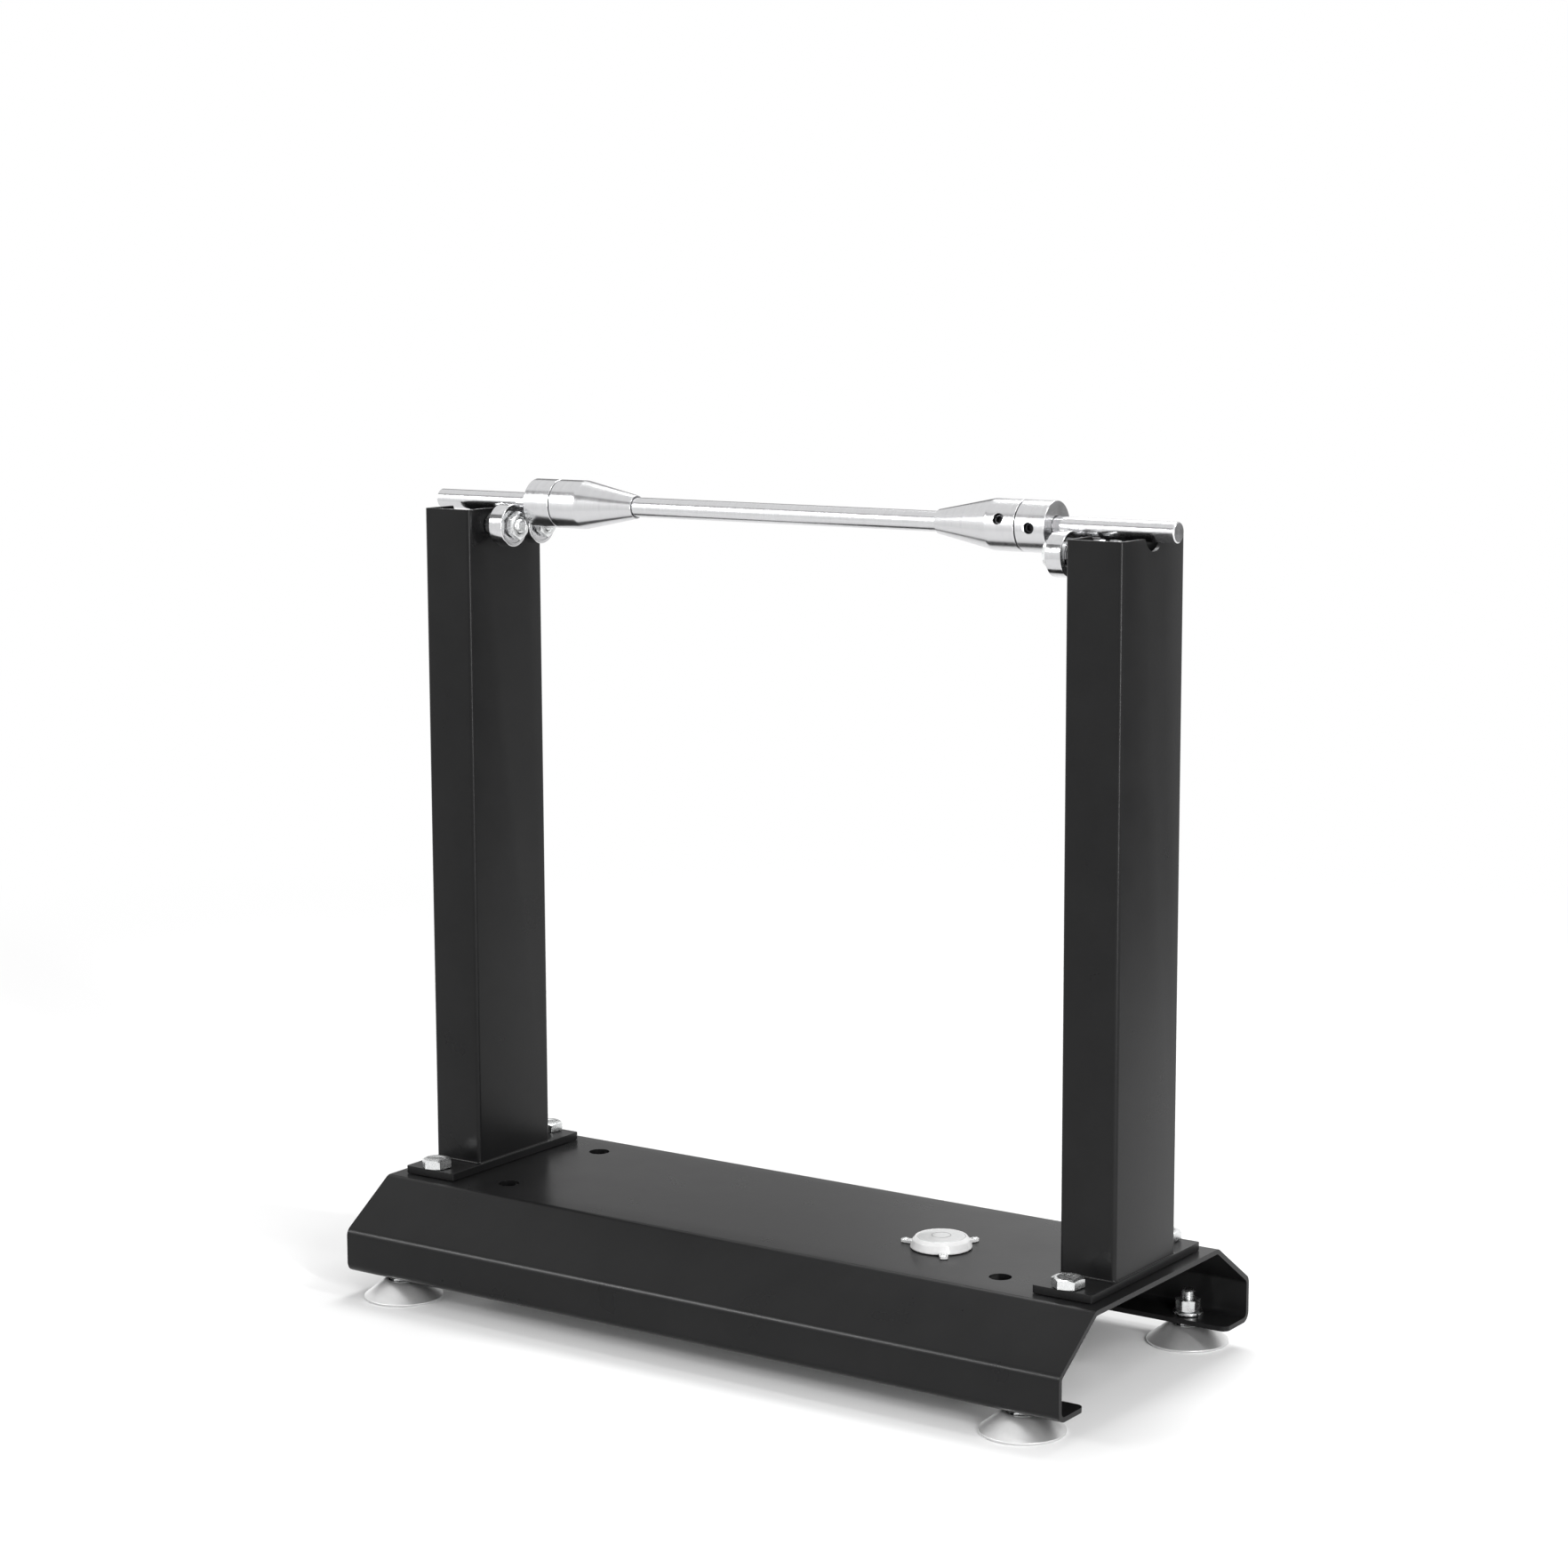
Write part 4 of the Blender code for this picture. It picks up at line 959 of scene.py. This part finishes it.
def set_screw():
    """A socket set screw about Z, its point at 0 and its socket at the top."""
    outline, angles, _ = hexagon(SET_SCREW_SOCKET)
    top = SET_SCREW_LENGTH
    floor = top - SET_SCREW_SOCKET_DEPTH
    radius = SET_SCREW_RADIUS
    rings = [[(0, 0, 0)], circle(angles, radius - 2 * BORE_GAP, 0)]
    rings += thread(angles, radius, SET_SCREW_PITCH, SET_SCREW_THREAD, BORE_GAP, top, 0.0, BORE_GAP)
    rings += [raised(outline, top, SOCKET_FLARE), raised(outline, top - BORE_GAP / 2)]
    rings += [raised(outline, floor), [(0, 0, floor - BORE_GAP)]]
    return shade(loft("set_screw", rings))


def make_set_screws(material):
    """The four set screws, each in its cone's or collar's hole."""
    mesh = set_screw()
    for side, across in SIDES:
        for kind in SCREW_TILTS:
            node = side + "_" + kind + "_set_screw"
            place = Matrix.Translation(middle(node)) @ screw_turn(kind, across)
            dress(node, mesh, material, place @ Matrix.Translation((0, 0, -SET_SCREW_LENGTH / 2)))


def foot_pad(radius, height):
    """A pad: a low cone on a thin rounded rim, with a recess for the stud's hexagon."""
    recess = STUD_HEX / 2 / HEX_SHARE + PAD_RECESS_GAP
    top_radius = recess + PAD_TOP_WALL
    land = top_radius - PAD_TOP_LAND / 2
    pin = STUD_PIN_RADIUS + BORE_GAP
    corners = [
        (0, PAD_FLOOR),
        (pin, PAD_FLOOR),
        (pin, height - PAD_RECESS),
        (recess, height - PAD_RECESS),
        (recess, height),
        (land, height),
        (top_radius, height - BORE_GAP),
        (radius, PAD_RIM_TOP),
        (radius, PAD_SOLE_BEVEL),
        (radius - PAD_SOLE_INSET, 0),
        (0, 0),
    ]
    small = BORE_GAP / 2
    radii = [0, 0, small, 0, small, small, small, 2 * small, small, small, 0]
    return shade(turned("foot_pad", rounded_path(corners, radii), WIDE_FACES))


def foot_stud(shoulder, height):
    """A stud along Z: a pin up to the shoulder, a chamfered hexagon and a thread up to its height."""
    outline, angles, land = hexagon(STUD_HEX)
    top = shoulder + STUD_HEX_HEIGHT
    rings = [
        [(0, 0, 0)],
        circle(angles, STUD_PIN_RADIUS - BORE_GAP, 0),
        circle(angles, STUD_PIN_RADIUS, BORE_GAP),
        circle(angles, STUD_PIN_RADIUS, shoulder),
        circle(angles, land, shoulder),
        chamfered_hex(outline, land, shoulder, 1),
        chamfered_hex(outline, land, top, -1),
        circle(angles, land, top),
        circle(angles, STUD_RADIUS, top),
    ]
    start, end = STUD_THREAD_START, THREAD_END
    rings += thread(angles, STUD_RADIUS, STUD_PITCH, STUD_THREAD, top, height, start, end)
    rings.append([(0, 0, height)])
    return shade(loft("foot_stud", rings))


def spring_washer():
    """A split ring of square wire with soft edges, its two ends a little apart in height."""
    inner = STUD_RADIUS + BORE_GAP
    outer = SPRING_WASHER_RADIUS
    corners = [(inner, 0), (outer, 0), (outer, SPRING_WASHER), (inner, SPRING_WASHER)]
    section = rounded_path(corners, [BORE_GAP] * 4, EDGE_STEPS, closed=True)
    sweep = 2 * pi - SPRING_WASHER_CUT
    rings = []
    for step in range(ROUND_FACES + 1):
        share = step / ROUND_FACES
        angle = SPRING_WASHER_TURN + SPRING_WASHER_CUT / 2 + sweep * share
        lift = SPRING_WASHER_LIFT * (share - 1)
        rings.append([(reach * cos(angle), reach * sin(angle), level + lift) for reach, level in section])
    return shade(loft("spring_washer", rings, capped=True))


def make_feet(spun, zinc):
    """Four levelling feet: pad, stud, lock nut and spring washer."""
    example = "left_front_foot_"
    pad_size = size(example + "pad")
    pad = foot_pad(pad_size.x / 2, pad_size.z)
    stud_low, stud_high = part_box(example + "stud")
    shoulder = pad_size.z - PAD_RECESS + BORE_GAP - stud_low.z
    stud = foot_stud(shoulder, stud_high.z - stud_low.z)
    height = size(example + "lock_nut").z - SPRING_WASHER
    nut = hex_nut("lock_nut", LOCK_NUT_HEX, height, STUD_RADIUS + BORE_GAP, flat_top=True)
    washer = spring_washer()
    for corner, _, _ in CORNERS:
        name = corner + "_foot"
        dress(name + "_pad", pad, spun, standing(name + "_pad"))
        dress(name + "_stud", stud, zinc, standing(name + "_stud"))
        seat = standing(name + "_lock_nut")
        dress(name + "_lock_nut", nut, zinc, seat @ Matrix.Translation((0, 0, SPRING_WASHER)))
        add_piece(name + "_spring_washer", washer, zinc, seat, BODY_OF[name + "_lock_nut"])


def pan_screw():
    """A small cross-slotted screw with a domed head, its seat at 0."""
    brim = EAR_SCREW_DOME * EAR_SCREW_BRIM
    profile = arc(0, brim, EAR_SCREW_RADIUS, EAR_SCREW_DOME - brim, pi / 2)
    shank = EAR_HOLE_RADIUS - BORE_GAP / 2
    profile += [(EAR_SCREW_RADIUS, 0), (shank, 0), (shank, -EAR_THICKNESS), (0, -EAR_THICKNESS)]
    head = temporary("pan_screw", turned("pan_screw", profile, THREAD_FACES))
    half = EAR_SCREW_SLOT / 2
    reach = (EAR_SCREW_RADIUS + OVERRUN) / 3
    outline = [(-reach, -half), (reach, -half), (reach, half), (-reach, half)]
    for turn in (0, pi / 2):
        bar = outline_block("slot", outline, EAR_SCREW_DOME / 3, OVERRUN)
        combine(head, "DIFFERENCE", "slot" + str(round(turn)), bar, Matrix.Rotation(turn, 4, "Z"))
    return shade(apply_modifiers(head))


def make_level(body_material, lens_material, liquid_material, ink, zinc):
    """The round spirit level: body with ears, lens, spirit, target ring and three screws."""
    centre = middle("level_lens")
    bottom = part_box("level_body")[0].z
    place = Matrix.Translation((centre.x, centre.y, bottom))
    top_radius = LEVEL_RADIUS - LEVEL_TOP_INSET
    well = top_radius - LEVEL_RIM
    corners = [
        (0, LEVEL_FLOOR),
        (well, LEVEL_FLOOR),
        (well, LEVEL_HEIGHT),
        (top_radius, LEVEL_HEIGHT),
        (LEVEL_RADIUS - LEVEL_SHOULDER_INSET, LEVEL_HEIGHT - LEVEL_SHOULDER_DROP),
        (LEVEL_RADIUS, 0),
        (0, 0),
    ]
    small = BORE_GAP / 2
    radii = [0, small, small, small, 3 * BORE_GAP, 2 * BORE_GAP, 0]
    body = temporary("level_shell", turned("level_shell", rounded_path(corners, radii), WIDE_FACES))
    reach = LEVEL_RADIUS + EAR_OFFSET
    end = reach + EAR_RADIUS
    corners = [(top_radius, -EAR_RADIUS), (end, -EAR_RADIUS), (end, EAR_RADIUS), (top_radius, EAR_RADIUS)]
    tip = EAR_RADIUS - small
    outline = rounded_path(corners, [0, tip, tip, 0], BEND_STEPS, closed=True)
    for index, turn in enumerate(EAR_TURNS):
        spin = Matrix.Rotation(turn, 4, "Z")
        ear = outline_block("ear", outline, 0, EAR_THICKNESS)
        combine(body, "UNION", "ear" + str(index), ear, spin)
        hole = spin @ Matrix.Translation((reach, 0, 0))
        drill(body, "hole" + str(index), EAR_HOLE_RADIUS, -OVERRUN, EAR_THICKNESS + OVERRUN, hole)
    dress("level_body", shade(apply_modifiers(body)), body_material, place)

    lens_radius = size("level_lens").x / 2 + LENS_FILL
    crown = size("level_lens").z - LENS_THICKNESS
    lens_bottom = LEVEL_HEIGHT - LENS_THICKNESS
    profile = arc(0, LEVEL_HEIGHT, lens_radius, crown, pi / 2, LENS_STEPS)
    profile += [(lens_radius, lens_bottom), (0, lens_bottom)]
    dress("level_lens", shade(turned("level_lens_fine", profile, WIDE_FACES)), lens_material, place)

    high = lens_bottom - small
    low = LEVEL_FLOOR + small
    edge = well - small
    corners = [(0, high), (edge, high), (edge, low), (0, low)]
    spirit = shade(turned("spirit", rounded_path(corners, [0, small, small, 0])))
    add_piece("level_spirit", spirit, liquid_material, place, "frame")
    inner = TARGET_RADIUS - TARGET_LINE / 2
    outer = TARGET_RADIUS + TARGET_LINE / 2
    low = LEVEL_HEIGHT + crown * cos(asin(TARGET_RADIUS / lens_radius)) - small
    top = low + small + TARGET_PROUD
    band = [(outer, top), (outer, low), (inner, low), (inner, top)]
    ring = shade(turned("target_ring", band, closed=True))
    add_piece("level_target_ring", ring, ink, place, "frame")
    screw = pan_screw()
    for index, turn in enumerate(EAR_TURNS):
        seat = place @ Matrix.Rotation(turn, 4, "Z") @ Matrix.Translation((reach, 0, EAR_THICKNESS))
        add_piece("level_screw_" + str(index + 1), screw, zinc, seat, "frame")


def blank_material(name):
    """A new material with an empty node tree."""
    material = bpy.data.materials.new(name)
    material.use_nodes = True
    material.node_tree.nodes.clear()
    return material, material.node_tree


def make_floor():
    """A pale floor that keeps the shadow and runs into the white room."""
    half = FLOOR_SIZE / 2
    front = [(-half, -half, 0), (half, -half, 0)]
    floor = temporary("floor", drawn_sheet("floor", front, (0, FLOOR_SIZE, 0)))
    material, tree = blank_material("floor")
    seen = room_seen(tree)
    speckle = add_node(tree, "TexNoise", {"Scale": FLOOR_SPECKLE}).outputs["Fac"]
    low, high = FLOOR_COLOURS
    colour = shades(tree, speckle, (low, low, low), (high, high, high))
    plain = add_node(tree, "BsdfDiffuse", {"Color": colour}).outputs[0]
    glow = add_node(tree, "Math", {0: seen, 1: FLOOR_GLOW}, operation="MULTIPLY").outputs[0]
    lift = add_node(tree, "Emission", {"Strength": glow}).outputs[0]
    near = add_node(tree, "AddShader", {0: plain, 1: lift}).outputs[0]
    white = add_node(tree, "Emission", {"Strength": seen}).outputs[0]
    place = add_node(tree, "NewGeometry").outputs["Position"]
    reach = add_node(tree, "VectorMath", {0: place}, operation="LENGTH").outputs["Value"]
    fade = between(tree, reach, 0.0, 1.0, FLOOR_FADE, interpolation_type="SMOOTHSTEP")
    mixed = add_node(tree, "MixShader", {0: fade, 1: near, 2: white}).outputs[0]
    add_node(tree, "OutputMaterial", {"Surface": mixed})
    floor.data.materials.append(material)


def room_seen(tree):
    """1 where a camera, glossy or transmission ray sees the surface, and 0 elsewhere."""
    path = add_node(tree, "LightPath")
    camera = path.outputs["Is Camera Ray"]
    glossy = path.outputs["Is Glossy Ray"]
    through = path.outputs["Is Transmission Ray"]
    first = add_node(tree, "Math", {0: camera, 1: glossy}, operation="MAXIMUM").outputs[0]
    return add_node(tree, "Math", {0: first, 1: through}, operation="MAXIMUM").outputs[0]


def make_room():
    """A white room: white where it is seen or mirrored, and a softer light elsewhere."""
    world = bpy.data.worlds.new("room")
    world.use_nodes = True
    tree = world.node_tree
    strength = between(tree, room_seen(tree), ROOM_LIGHT, 1.0, (0.0, 1.0))
    fill(tree, tree.nodes["Background"], {"Color": WHITE, "Strength": strength})
    bpy.context.scene.world = world


def make_painted_reflections():
    """Painted reflections: grey glowing sheets, bent round the room, that only mirrors show.

    They paint bands into bright metal and keep the black coat's reflections dark."""
    for name, (reach, start, stop, low, high) in PAINTED_REFLECTIONS.items():
        path = []
        for step in range(PAINTED_REFLECTION_STEPS + 1):
            azimuth = radians(start + (stop - start) * step / PAINTED_REFLECTION_STEPS)
            path.append((reach * sin(azimuth), -reach * cos(azimuth), low))
        painted_reflection = temporary(name, drawn_sheet(name, path, (0, 0, high - low)))
        material, tree = blank_material(name)
        # The painted reflection's grey glow, which lights nothing and is seen only in mirrors
        glow = add_node(tree, "Emission", {"Color": WHITE, "Strength": PAINTED_REFLECTION_GREY}).outputs[0]
        add_node(tree, "OutputMaterial", {"Surface": glow})
        painted_reflection.data.materials.append(material)
        painted_reflection.visible_camera = False
        painted_reflection.visible_diffuse = False
        painted_reflection.visible_shadow = False
        painted_reflection.visible_transmission = False


def make_lamps():
    """Rectangular lamps, each turned from its place to its aim."""
    for name, (place, aim, width, depth, power, diffuse) in LAMPS.items():
        light = bpy.data.lights.new(name, "AREA")
        light.shape = "RECTANGLE"
        light.size = width
        light.size_y = depth
        light.energy = power
        lamp = bpy.data.objects.new(name, light)
        bpy.context.scene.collection.objects.link(lamp)
        lamp.location = place
        lamp.rotation_euler = (Vector(aim) - Vector(place)).to_track_quat("-Z", "Y").to_euler()
        lamp.visible_camera = False
        lamp.visible_diffuse = diffuse


def make_camera():
    """The camera at the photograph's place and angle."""
    heading = Matrix.Rotation(CAMERA_AZIMUTH, 4, "Z")
    pitch = Matrix.Rotation(pi / 2 - CAMERA_ELEVATION, 4, "X")
    turn = heading @ pitch @ Matrix.Rotation(CAMERA_ROLL, 4, "Z")
    lens = bpy.data.cameras.new("camera")
    lens.lens = CAMERA_LENS
    lens.sensor_width = SENSOR_WIDTH
    camera = bpy.data.objects.new("camera", lens)
    bpy.context.scene.collection.objects.link(camera)
    camera.matrix_world = Matrix.Translation(CAMERA_PLACE) @ turn
    bpy.context.scene.camera = camera


coat = black_coat()
steel = turned_steel()
ground_steel = bearing_steel()
zinc = zinc_plate()
satin = spun_steel()
oxide = black_oxide()

make_base(coat)
for side_name, side_sign in SIDES:
    make_upright(side_name, coat)
    make_weld(side_name, coat)
    make_plate(side_name, coat)
    for slider in SCREW_TILTS:
        make_slider(side_name, side_sign, slider, steel)
make_flange_bolts(zinc)
make_bearings(ground_steel, zinc)
make_shaft(steel)
make_set_screws(oxide)
make_feet(satin, zinc)
make_level(white_acrylic(), clear_acrylic(), level_liquid(), printed_black(), zinc)

make_floor()
make_room()
make_painted_reflections()
make_lamps()
make_camera()
bpy.context.scene.view_settings.view_transform = "Standard"
